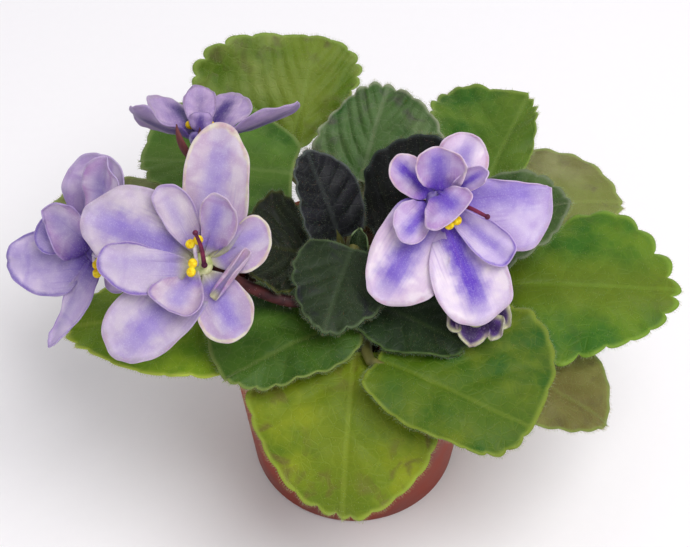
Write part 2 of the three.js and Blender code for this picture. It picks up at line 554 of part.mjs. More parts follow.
// Soil fills the pot, lumpy on top, with a plain hole for the crown.
function soilGeometry() {
  const { edgeHeight, middleHeight, lump, rings } = soilSize;
  const inside = (height) => potRadius(height) - potSize.wall - gap;
  const foot = potSize.floor + gap;
  const profile = [[0, foot], [inside(foot), foot]];
  for (let ring = rings; ring >= 0; ring--) {
    const share = ring / rings;
    profile.push([inside(edgeHeight) * share, middleHeight + (edgeHeight - middleHeight) * share ** 2]);
  }
  const fill = new THREE.LatheGeometry(profile.map(([r, z]) => new THREE.Vector2(r, z)), 24)
    .rotateX(Math.PI / 2);
  const place = fill.getAttribute("position");
  for (let i = 0; i < place.count; i++) {
    const [x, y, z] = [place.getX(i), place.getY(i), place.getZ(i)];
    const lumps = lump * Math.sin(0.71 * x + 1.3 * Math.sin(0.5 * y)) * Math.cos(0.83 * y);
    if (z > foot + 1) place.setZ(i, z + lumps);
  }
  const holeRadius = crownSize.radius + gap;
  const hole = new THREE.CylinderGeometry(holeRadius, holeRadius, potSize.height, crownSize.sides)
    .rotateX(Math.PI / 2)
    .translate(0, 0, crownSize.footHeight - gap + potSize.height / 2);
  return cut(fill, [hole]);
}

// The short thick stem, with the youngest leaves at its tip.
function crownGeometry() {
  const { radius, shoulder, footHeight, topHeight, sides } = crownSize;
  const body = new THREE.LatheGeometry([
    [0, footHeight], [radius, footHeight], [radius, topHeight - 5], [shoulder, topHeight - 1.5],
    [shoulder * 0.5, topHeight], [0, topHeight],
  ].map(([r, z]) => new THREE.Vector2(r, z)), sides).rotateX(Math.PI / 2);
  const leaves = youngestLeaves.map((leaf) => bladeGeometry({
    ...leafShape, ...leaf, start: polar(leaf.start), roll: 0, sweep: 0, wave: 0.3, teeth: 6, lobe: 0,
    left: [leaf.half, 0.4, 0.6], right: [leaf.half, 0.4, 0.6], seed: leaf.heading,
  }, [1, 12]));
  return join([body, ...leaves]);
}

addMesh("pot", potGeometry(), "pot");
addMesh("soil", soilGeometry(), "soil");
addMesh("crown", crownGeometry(), "crown");

const leafRings = { outer: outerLeaves, middle: middleLeaves, young: youngLeaves };
for (const [kind, leaves] of Object.entries(leafRings)) {
  leaves.forEach((leaf, i) => {
    const name = `${kind}_leaf_${String(i + 1).padStart(2, "0")}`;
    addMesh(name, leafGeometry(leaf, leafGrid[kind]), leaf.colour);
  });
}

for (const [where, bloom] of Object.entries(blooms)) {
  const frame = new THREE.Group();
  frame.applyMatrix4(bloomFrame(bloom));
  group.add(frame);
  addMesh(`${where}_bloom_petals`, petalsGeometry(bloom), "petals", frame);
  addMesh(`${where}_bloom_stamens`, stamensGeometry(bloom), "stamens", frame);
  addMesh(`${where}_bloom_pistil`, pistilGeometry(bloom), "pistil", frame);
}
addMesh("bud_petals", petalsGeometry(bud).applyMatrix4(bloomFrame(bud)), "bud");
for (const [where, branches] of Object.entries(stems)) {
  addMesh(`${where}_flower_stems`, stemsGeometry(branches), "stem");
}

export default group;
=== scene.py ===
import math
import random

import bmesh
import bpy
from mathutils import Matrix, Vector, noise


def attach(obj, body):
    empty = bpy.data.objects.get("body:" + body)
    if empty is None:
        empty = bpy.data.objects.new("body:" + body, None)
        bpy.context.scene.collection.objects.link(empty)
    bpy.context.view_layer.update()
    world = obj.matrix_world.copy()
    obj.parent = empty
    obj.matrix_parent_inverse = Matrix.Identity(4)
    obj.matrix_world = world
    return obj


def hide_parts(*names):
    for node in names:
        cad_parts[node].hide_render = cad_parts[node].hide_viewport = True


# African violet in a small moulded pot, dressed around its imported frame.
# Shapes are worked out in millimetres and scaled to metres when a piece is finished.

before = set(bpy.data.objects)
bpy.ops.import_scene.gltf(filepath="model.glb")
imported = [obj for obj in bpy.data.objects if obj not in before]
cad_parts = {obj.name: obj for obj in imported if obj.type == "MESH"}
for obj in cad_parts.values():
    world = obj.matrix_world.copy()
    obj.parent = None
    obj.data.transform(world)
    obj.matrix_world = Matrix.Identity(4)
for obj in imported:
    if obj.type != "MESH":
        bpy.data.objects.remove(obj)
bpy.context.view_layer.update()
print("frame loaded:", len(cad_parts), "nodes")


# camera first: it looks down on the plant from the front
cameraView = {
    "target": (-2.4, 0, 67),  # mm
    "distance": 345,
    "elevation": 50,  # degrees
    "sensor": 36,
    "focalPixels": 1500,  # focal length in pixels of the 690 wide picture
    "pictureWidth": 690,
}


def addCamera(view):
    camera = bpy.data.objects.new("camera", bpy.data.cameras.new("camera"))
    bpy.context.scene.collection.objects.link(camera)
    tilt = math.radians(view["elevation"])
    back = Vector((0, -math.cos(tilt), math.sin(tilt)))
    camera.location = (Vector(view["target"]) + back * view["distance"]) / 1000
    camera.rotation_euler = (-back).to_track_quat("-Z", "Y").to_euler()
    camera.data.sensor_width = view["sensor"]
    camera.data.lens = view["sensor"] * view["focalPixels"] / view["pictureWidth"]
    camera.data.clip_start = 0.01
    bpy.context.scene.camera = camera


addCamera(cameraView)


# materials: helpers


def linearColour(hexText):
    channels = [int(hexText[i:i + 2], 16) / 255 for i in (1, 3, 5)]
    return [c / 12.92 if c <= 0.04045 else ((c + 0.055) / 1.055) ** 2.4 for c in channels] + [1]


def addNode(tree, kind, inputs=(), **settings):
    # inputs: socket name or number with a value or the socket it is linked to
    node = tree.nodes.new("ShaderNode" + kind)
    for key, value in settings.items():
        setattr(node, key, value)
    for socket, source in dict(inputs).items():
        if isinstance(source, bpy.types.NodeSocket):
            tree.links.new(source, node.inputs[socket])
        else:
            node.inputs[socket].default_value = source
    return node


def startMaterial(name, sockets):
    material = bpy.data.materials.new(name)
    material.use_nodes = True
    shader = material.node_tree.nodes["Principled BSDF"]
    for socket, value in sockets.items():
        shader.inputs[socket].default_value = value
    return material, material.node_tree


def layColours(tree, base, layers):
    # hex colours laid over each other; how much of each layer shows is a socket
    colour = linearColour(base) if isinstance(base, str) else base
    for amount, layer in layers:
        mix = addNode(tree, "Mix", {0: amount, 6: colour, 7: linearColour(layer)}, data_type="RGBA")
        colour = mix.outputs[2]
    return colour


def finishMaterial(material, colour, height, strength, relief):
    # the colour, and a bump whose relief is in mm
    tree = material.node_tree
    shader = tree.nodes["Principled BSDF"]
    bump = addNode(tree, "Bump", {"Strength": strength, "Distance": relief / 1000, "Height": height})
    tree.links.new(colour, shader.inputs["Base Color"])
    tree.links.new(bump.outputs[0], shader.inputs["Normal"])
    return material


# materials of the plant; the sizes of their patterns are in mm
leafPattern = {
    "broad": 9, "spots": 5, "tufts": 0.35, "net": 2.4, "under": "#8fa070",  # the colour of the underside
    "layers": {"inner": "heart", "spots": "blotch", "faintNet": "rim", "faintVein": "rim", "turned": "under",
               "tufts": "light", "brim": "rim"},  # each mask and its colour, from the lowest up
}
petalPattern = {
    "soft": 4, "patch": 6, "blush": 3, "cell": 0.2, "streaks": (26, 1.6, 1),  # streaks across, along
    "throatEnd": 0.16, "creamFrom": 0.88, "glint": "#ffffff",
    "layers": {"soft": "pale", "flush": "pink", "patch": "pale", "foot": "band", "band": "band",
               "fine": "vein", "darker": "band", "paler": "pale", "deep": "deep", "line": "line",
               "cream": "cream", "blush": "pink", "hem": "hem", "spark": "glint", "turned": "wash"},
}


def velvetLeaf(name, look):
    # Gesneriad leaf: living tissue with a thin waxy skin under a coat of short hairs. The hairs
    # spread the highlights, so it reads as velvet, paler where it is seen edge on.
    look = {**leafPattern, **look}
    material, tree = startMaterial(name, {
        "Roughness": 0.55, "IOR": 1.42, "Specular IOR Level": 0.35,
        "Sheen Weight": 0.2, "Sheen Roughness": 0.4, "Sheen Tint": linearColour("#c9dca8"),
        "Subsurface Weight": 0.12, "Subsurface Radius": (0.4, 0.8, 0.2), "Subsurface Scale": 0.001,
    })
    flat = addNode(tree, "UVMap", uv_map="blade").outputs[0]
    place = addNode(tree, "VectorMath", {0: flat, 3: 100}, operation="SCALE").outputs[0]  # mm
    seeded = addNode(tree, "VectorMath", {0: place, 1: (look["seed"] * 37, look["seed"] * 11, 0)},
                     operation="ADD").outputs[0]
    edge, under = [addNode(tree, "Attribute", attribute_name=key).outputs["Fac"] for key in ("edge", "under")]
    veinUv = addNode(tree, "SeparateXYZ", {0: addNode(tree, "UVMap", uv_map="veins").outputs[0]})
    fromMidrib = veinUv.outputs[1]
    fromVein = addNode(tree, "Math", {0: veinUv.outputs[0], 1: 0.5}, operation="PINGPONG").outputs[0]
    fromNet = addNode(tree, "TexVoronoi", {"Vector": seeded, "Scale": 1 / look["net"]},
                      feature="DISTANCE_TO_EDGE").outputs[0]
    noises = {"broad": {"Detail": 3}, "spots": {"Detail": 4, "Distortion": 0.6}, "tufts": {"Detail": 2}}
    for key, settings in noises.items():
        noises[key] = addNode(tree, "TexNoise", {"Vector": seeded, "Scale": 1 / look[key],
                                                 **settings}).outputs[0]

    # side veins lie where the vein count is whole, the midrib where the distance from it is none
    masks = {  # what drives it, from low to high, and how much of it there is at each
        "broad": (noises["broad"], 0.36, 0.66, -0.5, 1.5, "LINEAR"),
        "spots": (noises["spots"], 0.52, 0.68, 0, look["blotches"], "LINEAR"),
        "tufts": (noises["tufts"], 0.5, 0.75, 0, 0.3, "LINEAR"),
        "outer": (edge, 0.35, 0.75, 0, 1, "LINEAR"),
        "faded": (edge, 0.3, 0.9, 0.3, 0, "LINEAR"),
        "side": (fromVein, 0, 0.075, 1, 0, "SMOOTHSTEP"),
        "midrib": (fromMidrib, 0.002, 0.009, 1, 0, "SMOOTHSTEP"),
        "inner": (fromMidrib, 0.02, 0.12, 0.75, 0, "SMOOTHSTEP"),
        "net": (fromNet, 0, 0.09, 1, 0, "SMOOTHSTEP"),
        # brim: a pale line round the rim, partly the hairs' own paleness and partly painted light that the
        # hairy edge catches
        "brim": (edge, 0.93, 1, 0, 0.85, "SMOOTHSTEP"),
    }
    for key, (source, low, high, first, last, kind) in masks.items():
        masks[key] = addNode(tree, "MapRange", {0: source, 1: low, 2: high, 3: first, 4: last},
                             interpolation_type=kind).outputs[0]
    combined = {  # in this order, as some build on others
        "side": ("side", "faded", "MULTIPLY"), "vein": ("side", "midrib", "MAXIMUM"),
        "spots": ("spots", "outer", "MULTIPLY"), "faintVein": ("vein", 0.22, "MULTIPLY"),
        "faintNet": ("net", 0.1, "MULTIPLY"), "turned": ("under", 0.8, "MULTIPLY"),
        "relief": ("net", -0.5, "MULTIPLY"),
    }
    masks["under"] = under
    for key, (first, second, how) in combined.items():
        masks[key] = addNode(tree, "Math", {0: masks[first], 1: masks.get(second, second)},
                             operation=how).outputs[0]

    skin = addNode(tree, "Mix", {0: masks["broad"], 6: linearColour(look["skin"]),
                                 7: linearColour(look["light"])},
                   data_type="RGBA", clamp_factor=False).outputs[2]
    skin = layColours(tree, skin, [(masks[key], look[tint]) for key, tint in look["layers"].items()])
    height = addNode(tree, "Math", {0: masks["tufts"], 1: 1.2, 2: masks["relief"]},
                     operation="MULTIPLY_ADD").outputs[0]
    return finishMaterial(material, skin, height, 0.5, 0.2)


def paleHair(name, colour, light):
    # Plant hair: a clear tapering cell, so it only catches light.
    material, tree = startMaterial(name, {
        "Roughness": 0.4, "IOR": 1.4, "Subsurface Weight": 0.3, "Subsurface Scale": 0.0005,
    })
    place = addNode(tree, "TexCoord").outputs["Object"]
    tint = addNode(tree, "TexNoise", {"Vector": place, "Scale": 1000 / 4}).outputs[0]  # 4 mm patches
    skin = layColours(tree, colour, [(tint, light)])
    tree.links.new(skin, tree.nodes["Principled BSDF"].inputs["Base Color"])
    return material


def glistenPetal(name, look):
    # African violet petal: thin cells full of sap, each a tiny lens, so the pale petal glitters a
    # little and light passes through it. Violet pigment lies in a band and along the edge.
    look = {**petalPattern, **look}
    material, tree = startMaterial(name, {
        "Roughness": 0.5, "IOR": 1.4, "Specular IOR Level": 0.4,
        "Sheen Weight": 0.15, "Sheen Roughness": 0.5, "Sheen Tint": linearColour("#f0e8f8"),
        "Subsurface Weight": 0.25, "Subsurface Radius": (1, 0.8, 1.4), "Subsurface Scale": 0.001,
    })
    flat = addNode(tree, "UVMap", uv_map="blade").outputs[0]
    place = addNode(tree, "VectorMath", {0: flat, 3: 100}, operation="SCALE").outputs[0]  # mm
    shares = addNode(tree, "UVMap", uv_map="veins").outputs[0]  # across from 0 to 1, along from 0 to 1
    split = addNode(tree, "SeparateXYZ", {0: shares})
    along = split.outputs[1]
    middle = addNode(tree, "Math", {0: split.outputs[0], 1: 0.5}, operation="SUBTRACT").outputs[0]
    middle = addNode(tree, "Math", {0: middle}, operation="ABSOLUTE").outputs[0]
    edge, under, depth = [addNode(tree, "Attribute", attribute_name=key).outputs["Fac"]
                          for key in ("edge", "under", "depth")]
    toneNode = addNode(tree, "Attribute", attribute_name="tone")
    tone = addNode(tree, "SeparateColor", {0: toneNode.outputs["Color"]})
    band, cream, pink = tone.outputs[0], tone.outputs[1], tone.outputs[2]
    line = toneNode.outputs["Alpha"]

    # streaks run from the throat and spread with the petal
    fan = addNode(tree, "VectorMath", {0: shares, 1: look["streaks"]}, operation="MULTIPLY").outputs[0]
    noises = {
        "streak": {"Vector": fan, "Scale": 1, "Detail": 2},
        "soft": {"Vector": place, "Scale": 1 / look["soft"], "Detail": 3},
        "patch": {"Vector": place, "Scale": 1 / look["patch"], "Detail": 2, "Distortion": 0.8},
        "blush": {"Vector": place, "Scale": 1 / look["blush"], "Detail": 1},
    }
    for key, settings in noises.items():
        noises[key] = addNode(tree, "TexNoise", settings).outputs[0]
    streak, soft = noises["streak"], noises["soft"]
    wander = addNode(tree, "Math", {0: soft, 1: 0.24, 2: -0.12}, operation="MULTIPLY_ADD").outputs[0]
    bandPlace = addNode(tree, "Math", {0: middle, 1: wander}, operation="ADD").outputs[0]
    bandPlace = addNode(tree, "Math", {0: streak, 1: 0.12, 2: bandPlace}, operation="MULTIPLY_ADD").outputs[0]
    ragged = addNode(tree, "Math", {0: soft, 1: 0.22, 2: -0.11}, operation="MULTIPLY_ADD").outputs[0]
    ragged = addNode(tree, "Math", {0: edge, 1: ragged}, operation="ADD").outputs[0]
    glint = addNode(tree, "TexVoronoi", {"Vector": place, "Scale": 1 / look["cell"], "Randomness": 1})
    glitter = addNode(tree, "SeparateColor", {0: glint.outputs["Color"]}).outputs[0]

    masks = {  # what drives it, from low to high, and how much of it there is at each
        "band": (bandPlace, 0.08, 0.34, 1, 0, "SMOOTHSTEP"),
        "bandEnd": (along, 0.7, 0.98, 1, 0.25, "SMOOTHSTEP"),
        "foot": (along, 0.05, 0.42, 0.85, 0, "SMOOTHSTEP"),
        "deep": (along, 0.02, look["throatEnd"], 0.9, 0, "SMOOTHSTEP"),
        "fine": (streak, 0.54, 0.66, 0, 0.4, "LINEAR"),
        "fineEnd": (along, 0.25, 0.8, 1, 0, "LINEAR"),
        "tipward": (along, 0.25, 0.55, 0, 1, "SMOOTHSTEP"),
        "line": (ragged, 0.86, 0.99, 0, 1, "SMOOTHSTEP"),
        "cream": (ragged, look["creamFrom"], 0.96, 0, 1, "SMOOTHSTEP"),
        "hem": (edge, 0.965, 1, 0, 0.45, "LINEAR"),
        "patch": (noises["patch"], 0.42, 0.6, 0, 0.85, "LINEAR"),
        # painted shade: petals set deeper in the bloom are darkened towards the band colour by their depth; a
        # depth below 0 is painted light that makes a petal paler
        "darker": (depth, 0, 1, 0, 1, "LINEAR"),
        "paler": (depth, 0, -1, 0, 1, "LINEAR"),
        "blush": (noises["blush"], 0.45, 0.65, 0, 1, "LINEAR"),
        "flush": (edge, 0.2, 0.95, 0, 1, "LINEAR"),
        "spark": (glitter, 0.7, 1, 0, 0.09, "LINEAR"),
    }
    for key, (source, low, high, first, last, kind) in masks.items():
        masks[key] = addNode(tree, "MapRange", {0: source, 1: low, 2: high, 3: first, 4: last},
                             interpolation_type=kind).outputs[0]
    masks["turned"], masks["soft"] = under, soft
    weakened = [("band", "bandEnd"), ("band", band), ("fine", "fineEnd"), ("line", line), ("line", "tipward"),
                ("cream", cream), ("cream", "tipward"), ("hem", "tipward"), ("blush", "cream"),
                ("blush", 0.7), ("flush", pink), ("turned", 0.25)]
    for key, factor in weakened:  # in this order; a name is another mask, as it is by then
        masks[key] = addNode(tree, "Math", {0: masks[key], 1: masks.get(factor, factor)},
                             operation="MULTIPLY").outputs[0]

    layers = [(masks[key], look[tint]) for key, tint in look["layers"].items()]
    skin = layColours(tree, look["wash"], layers)
    return finishMaterial(material, skin, glint.outputs["Distance"], 0.2, 0.1)


def juicyTissue(name, look):
    # Stems, styles, anthers and throat: smooth full cells, with a soft gloss and a mottled tint.
    material, tree = startMaterial(name, {
        "Roughness": look.get("roughness", 0.45), "IOR": 1.42, "Specular IOR Level": 0.4,
        "Subsurface Weight": 0.15, "Subsurface Radius": (1, 0.6, 0.4), "Subsurface Scale": 0.001,
    })
    place = addNode(tree, "TexCoord").outputs["Object"]
    mottle = addNode(tree, "TexNoise", {"Vector": place, "Scale": 1000 / look["mottle"],
                                        "Detail": 3}).outputs[0]
    mottle = addNode(tree, "MapRange", {0: mottle, 1: 0.38, 2: 0.62}).outputs[0]
    grain = addNode(tree, "TexNoise", {"Vector": place, "Scale": 1000 / look["grain"], "Detail": 2})
    skin = layColours(tree, look["dark"], [(mottle, look["light"])])
    return finishMaterial(material, skin, grain.outputs[0], 0.4, 0.1)


def mouldedPot(look):
    # Polypropylene moulded in terracotta red: even colour, a fine mould texture, a soft gloss, and painted
    # shade near its foot.
    material, tree = startMaterial("moulded polypropylene", {
        "Roughness": 0.5, "IOR": 1.49, "Specular IOR Level": 0.25,
        "Subsurface Weight": 0.05, "Subsurface Scale": 0.001,
    })
    place = addNode(tree, "TexCoord").outputs["Object"]
    height = addNode(tree, "SeparateXYZ", {0: place}).outputs[2]
    noises = {"cloud": {"Detail": 4}, "speck": {"Detail": 4, "Roughness": 0.7}, "grain": {"Detail": 2}}
    for key, settings in noises.items():
        noises[key] = addNode(tree, "TexNoise", {"Vector": place, "Scale": 1000 / look[key],
                                                 **settings}).outputs[0]
    cloud = addNode(tree, "MapRange", {0: noises["cloud"], 1: 0.35, 2: 0.65}).outputs[0]
    dust = addNode(tree, "MapRange", {0: noises["speck"], 1: 0.56, 2: 0.75, 3: 0, 4: 0.15}).outputs[0]
    # painted shade: the pot's own dark red laid over its lowest part, darkest where it stands on the floor
    footShade = addNode(tree, "MapRange", {0: height, 1: 0, 2: look["footShade"] / 1000, 3: 0.35, 4: 0}).outputs[0]
    rough = addNode(tree, "MapRange", {0: cloud, 3: 0.42, 4: 0.58}).outputs[0]
    tree.links.new(rough, tree.nodes["Principled BSDF"].inputs["Roughness"])
    colour = layColours(tree, look["dark"],
                        [(cloud, look["light"]), (dust, look["dust"]), (footShade, look["dark"])])
    return finishMaterial(material, colour, noises["grain"], 0.3, 0.1)


def moistPeat(look):
    # Peat mix: crumbs of dark fibre that stay matt even when moist.
    material, tree = startMaterial("moist peat", {"Roughness": 0.92, "Specular IOR Level": 0.2})
    place = addNode(tree, "TexCoord").outputs["Object"]
    crumbs = addNode(tree, "TexVoronoi", {"Vector": place, "Scale": 1000 / look["crumb"]})
    shade = addNode(tree, "SeparateColor", {0: crumbs.outputs["Color"]}).outputs[0]
    rough = addNode(tree, "TexNoise", {"Vector": place, "Scale": 1000 / look["fibre"], "Detail": 5})
    colour = layColours(tree, look["dark"], [(shade, look["light"])])
    return finishMaterial(material, colour, rough.outputs[0], 0.8, 0.6)


# shapes, all in millimetres


def polar(compass, distance, height):
    turn = math.radians(compass)
    return Vector((distance * math.cos(turn), distance * math.sin(turn), height))


def paintFaces(verts, index):
    for vert in verts:
        for face in vert.link_faces:
            face.material_index = index


def spinProfile(bm, profile, segments):
    # profile: radius and height of each point, turned round the Z axis
    verts = [bm.verts.new((r, 0, z)) for r, z in profile]
    edges = [bm.edges.new(pair) for pair in zip(verts, verts[1:])]
    bmesh.ops.spin(bm, geom=verts + edges, cent=(0, 0, 0), axis=(0, 0, 1), angle=2 * math.pi, steps=segments,
                   use_merge=True)
    bmesh.ops.remove_doubles(bm, verts=bm.verts, dist=0.001)
    bmesh.ops.recalc_face_normals(bm, faces=bm.faces)


def placeMesh(bm, name):
    # from millimetres to an object in metres
    bmesh.ops.scale(bm, vec=(0.001, 0.001, 0.001), verts=bm.verts)
    mesh = bpy.data.meshes.new(name)
    bm.to_mesh(mesh)
    bm.free()
    placed = bpy.data.objects.new(name, mesh)
    bpy.context.scene.collection.objects.link(placed)
    return placed


def finishPiece(bm, node, materials):
    # a finished mesh becomes the piece that stands for a node
    piece = placeMesh(bm, "fine_" + node)
    mesh = piece.data
    mesh.shade_smooth()
    for spare in ("flat", "upward"):
        if spare in mesh.attributes:
            mesh.attributes.remove(mesh.attributes[spare])
    for material in materials:
        mesh.materials.append(material)
    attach(piece, "root")
    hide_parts(node)
    return piece


def discPlace(a, b):
    # a point of a square that reaches 1 each way, as distance and angle in a round disc
    if a == 0 and b == 0:
        return 0, 0
    if abs(a) >= abs(b):
        turn = math.pi / 4 * b / a
        return abs(a), (turn if a > 0 else turn + math.pi) % (2 * math.pi)
    turn = math.pi / 2 - math.pi / 4 * a / b
    return abs(b), (turn if b > 0 else turn + math.pi) % (2 * math.pi)


bladeForm = {
    "lobeAt": 0.62, "lobeWidth": 0.32,  # radians from the base, where a heart-shaped blade reaches back
    "notch": 0.7,  # below 1 the teeth are round and the notches narrow
    "edgeThinning": 0.6, "nickSize": 2.6, "waves": 5,
}


def edgePoint(blade, angle, tooth):
    # the flat blade's edge at an angle round it, 0 at the tip
    share = min(1, max(0, (1 + math.cos(angle)) / 2))
    half, base, tip = blade["left" if math.sin(angle) > 0 else "right"]
    widest = base / (base + tip)
    swell = share ** base * (1 - share) ** tip / (widest ** base * (1 - widest) ** tip)
    lobeAt, lobeWidth = bladeForm["lobeAt"], bladeForm["lobeWidth"]
    behind = blade["lobe"] * math.exp(-((abs(math.pi - angle) - lobeAt) / lobeWidth) ** 2)
    stretch = 1 + tooth * min(1, share * 4)  # no teeth right at the base
    along = blade["length"] * (blade["middle"] + (share - blade["middle"] - behind) * stretch)
    side = 1 if math.sin(angle) > 0 else -1
    return along, side * half * swell * stretch + blade["sweep"] * 4 * share * (1 - share)


def bentPoint(blade, along, across, lift):
    # where a point of the flat blade goes once the blade is pitched, rolled and cupped
    base, tip = [math.radians(angle) for angle in blade["pitch"]]
    bend = (tip - base) / blade["length"]
    pitch = base + bend * along
    if abs(bend) < 1e-6:
        out, up = along * math.cos(base), along * math.sin(base)
    else:
        out, up = (math.sin(pitch) - math.sin(base)) / bend, (math.cos(base) - math.cos(pitch)) / bend
    half = blade["left" if across > 0 else "right"][0]
    turn = math.radians(blade["cup"]) * across / half or 1e-6
    side, rise = across * math.sin(turn) / turn, across * (1 - math.cos(turn)) / turn + lift
    roll = math.radians(blade["roll"]) * along / blade["length"]
    heading = math.radians(blade["heading"])
    ahead = Vector((math.cos(heading), math.sin(heading), 0))
    leftwards = Vector((-math.sin(heading), math.cos(heading), 0))
    normal = ahead * -math.sin(pitch) + Vector((0, 0, math.cos(pitch)))
    rolledSide = leftwards * math.cos(roll) + normal * math.sin(roll)
    rolledNormal = normal * math.cos(roll) - leftwards * math.sin(roll)
    return blade["start"] + ahead * out + Vector((0, 0, up)) + rolledSide * side + rolledNormal * rise


def addBlade(bm, blade, relief, veinPlace, material, tone=(0, 0, 0, 0)):
    # a square grid, rounded to a disc, laid into the blade's outline, bent and closed below
    perVert, perLoop = bm.verts.layers, bm.loops.layers
    flat, upward = [perVert.float_vector.get(key) or perVert.float_vector.new(key)
                    for key in ("flat", "upward")]
    for key in ("edge", "under", "depth"):
        perVert.float.get(key) or perVert.float.new(key)
    edge, under, depth = [perVert.float[key] for key in ("edge", "under", "depth")]
    toneLayer = perVert.float_color.get("tone") or perVert.float_color.new("tone")
    bladeUv, veinUv = [perLoop.uv.get(key) or perLoop.uv.new(key) for key in ("blade", "veins")]
    count = blade["segments"]
    upper = bmesh.ops.create_grid(bm, x_segments=count, y_segments=count, size=1)["verts"]
    middle = blade["middle"] * blade["length"]
    for vert in upper:
        out, angle = discPlace(vert.co.x, vert.co.y)
        uneven = 0.75 + 0.4 * math.sin(3.1 * angle + blade["seed"])
        scallop = 2 * abs(math.cos(blade["teeth"] / 2 * angle)) ** bladeForm["notch"] - 1
        rim = Vector((math.cos(angle), math.sin(angle), blade["seed"]))
        nicks = blade["ragged"] * noise.noise(rim * bladeForm["nickSize"])
        tooth = (blade["tooth"] * uneven * scallop + nicks) * out ** 8
        edgeAlong, edgeAcross = edgePoint(blade, angle, tooth)
        along, across = middle + (edgeAlong - middle) * out, edgeAcross * out
        wave = blade["wave"] * out ** 3 * math.sin(bladeForm["waves"] * angle + blade["seed"] * 2.3)
        vert.co = bentPoint(blade, along, across, wave + relief(blade, along, across, out, angle))
        vert[flat] = (across, along, out)
        vert[edge] = out
        vert[depth] = blade["depth"]
        vert[toneLayer] = tone
    bm.normal_update()
    faces = list({face for vert in upper for face in vert.link_faces})
    for vert in upper:
        vert[upward] = vert.normal
    grown = bmesh.ops.extrude_face_region(bm, geom=faces, use_keep_orig=True)["geom"]
    lower = [item for item in grown if isinstance(item, bmesh.types.BMVert)]
    for vert in lower:
        vert.co -= vert[upward] * blade["thickness"] * (1 - bladeForm["edgeThinning"] * vert[edge] ** 6)
        vert[under] = 1
    shell = list({face for vert in upper + lower for face in vert.link_faces})
    bmesh.ops.recalc_face_normals(bm, faces=shell)
    for face in shell:
        face.material_index = material
        for loop in face.loops:
            across, along, out = loop.vert[flat]
            loop[bladeUv].uv = (across / 100, along / 100)
            loop[veinUv].uv = veinPlace(blade, along, across)
    return upper


def curvePoints(points, steps):
    # a smooth curve through points, evenly walked
    ends = [points[0] * 2 - points[1]] + list(points) + [points[-1] * 2 - points[-2]]
    fine = []
    for i in range(1, len(ends) - 2):
        a, b, c, d = ends[i - 1:i + 3]
        for t in [step / 12 for step in range(12)]:
            fine.append(0.5 * (2 * b + (c - a) * t + (2 * a - 5 * b + 4 * c - d) * t * t
                               + (3 * b - a - 3 * c + d) * t ** 3))
    fine.append(points[-1])
    lengths = [0]
    for a, b in zip(fine, fine[1:]):
        lengths.append(lengths[-1] + (b - a).length)
    walked, i = [], 0
    for step in range(steps + 1):
        goal = lengths[-1] * step / steps
        while i < len(fine) - 2 and lengths[i + 1] < goal:
            i += 1
        walked.append(fine[i].lerp(fine[i + 1], (goal - lengths[i]) / (lengths[i + 1] - lengths[i])))
    return walked


def mergeInto(bm, part):
    # adds one bmesh to another
    mesh = bpy.data.meshes.new("part")
    part.to_mesh(mesh)
    part.free()
    bm.from_mesh(mesh)
    bpy.data.meshes.remove(mesh)


def curveFrames(points, steps):
    # points along a smooth curve, each with two directions square to it that don't twist
    path = curvePoints([Vector(point) for point in points], steps)
    aheads = [(path[min(i + 1, steps)] - path[max(i - 1, 0)]).normalized() for i in range(steps + 1)]
    sideways = aheads[0].orthogonal()
    frames = []
    for place, ahead in zip(path, aheads):
        sideways = (sideways - ahead * sideways.dot(ahead)).normalized()
        frames.append((place, sideways, ahead.cross(sideways)))
    return frames


def addTube(bm, points, radiusAt, sides, steps, material):
    # a capped cylinder, cut into rings and bent along a curve; radiusAt gives its radius by share
    part = bmesh.new()
    bmesh.ops.create_cone(part, cap_ends=True, segments=sides, radius1=1, radius2=1, depth=1)
    long = [edge for edge in part.edges if abs(edge.verts[0].co.z - edge.verts[1].co.z) > 0.5]
    bmesh.ops.subdivide_edges(part, edges=long, cuts=steps - 1, use_grid_fill=True)
    frames = curveFrames(points, steps)
    for vert in part.verts:
        share = vert.co.z + 0.5
        place, first, second = frames[round(share * steps)]
        vert.co = place + (first * vert.co.x + second * vert.co.y) * radiusAt(share)
    for face in part.faces:
        face.material_index = material
    mergeInto(bm, part)
    return frames


def addBall(bm, centre, size, material, turn=None, segments=14):
    place = Matrix.Translation(centre) @ (turn or Matrix.Identity(4)) @ Matrix.Diagonal((*size, 1))
    made = bmesh.ops.create_uvsphere(bm, u_segments=segments, v_segments=segments * 2 // 3, radius=1,
                                     matrix=place)["verts"]
    paintFaces(made, material)
    return made


def addHairs(bm, hairs, radius, material):
    # three-sided hairs, each from its foot along a direction, made apart because there are many
    coat = bmesh.new()
    for foot, ahead in hairs:
        turn = ahead.to_track_quat("Z", "Y").to_matrix().to_4x4()
        place = Matrix.Translation(foot + ahead * 0.5) @ turn
        bmesh.ops.create_cone(coat, cap_ends=True, segments=3, radius1=radius, radius2=radius * 0.3,
                              depth=ahead.length, matrix=place)
    for face in coat.faces:
        face.material_index = material
    mergeInto(bm, coat)


def someDirection(draw):
    return Vector((draw.gauss(0, 1), draw.gauss(0, 1), draw.gauss(0, 1))).normalized()


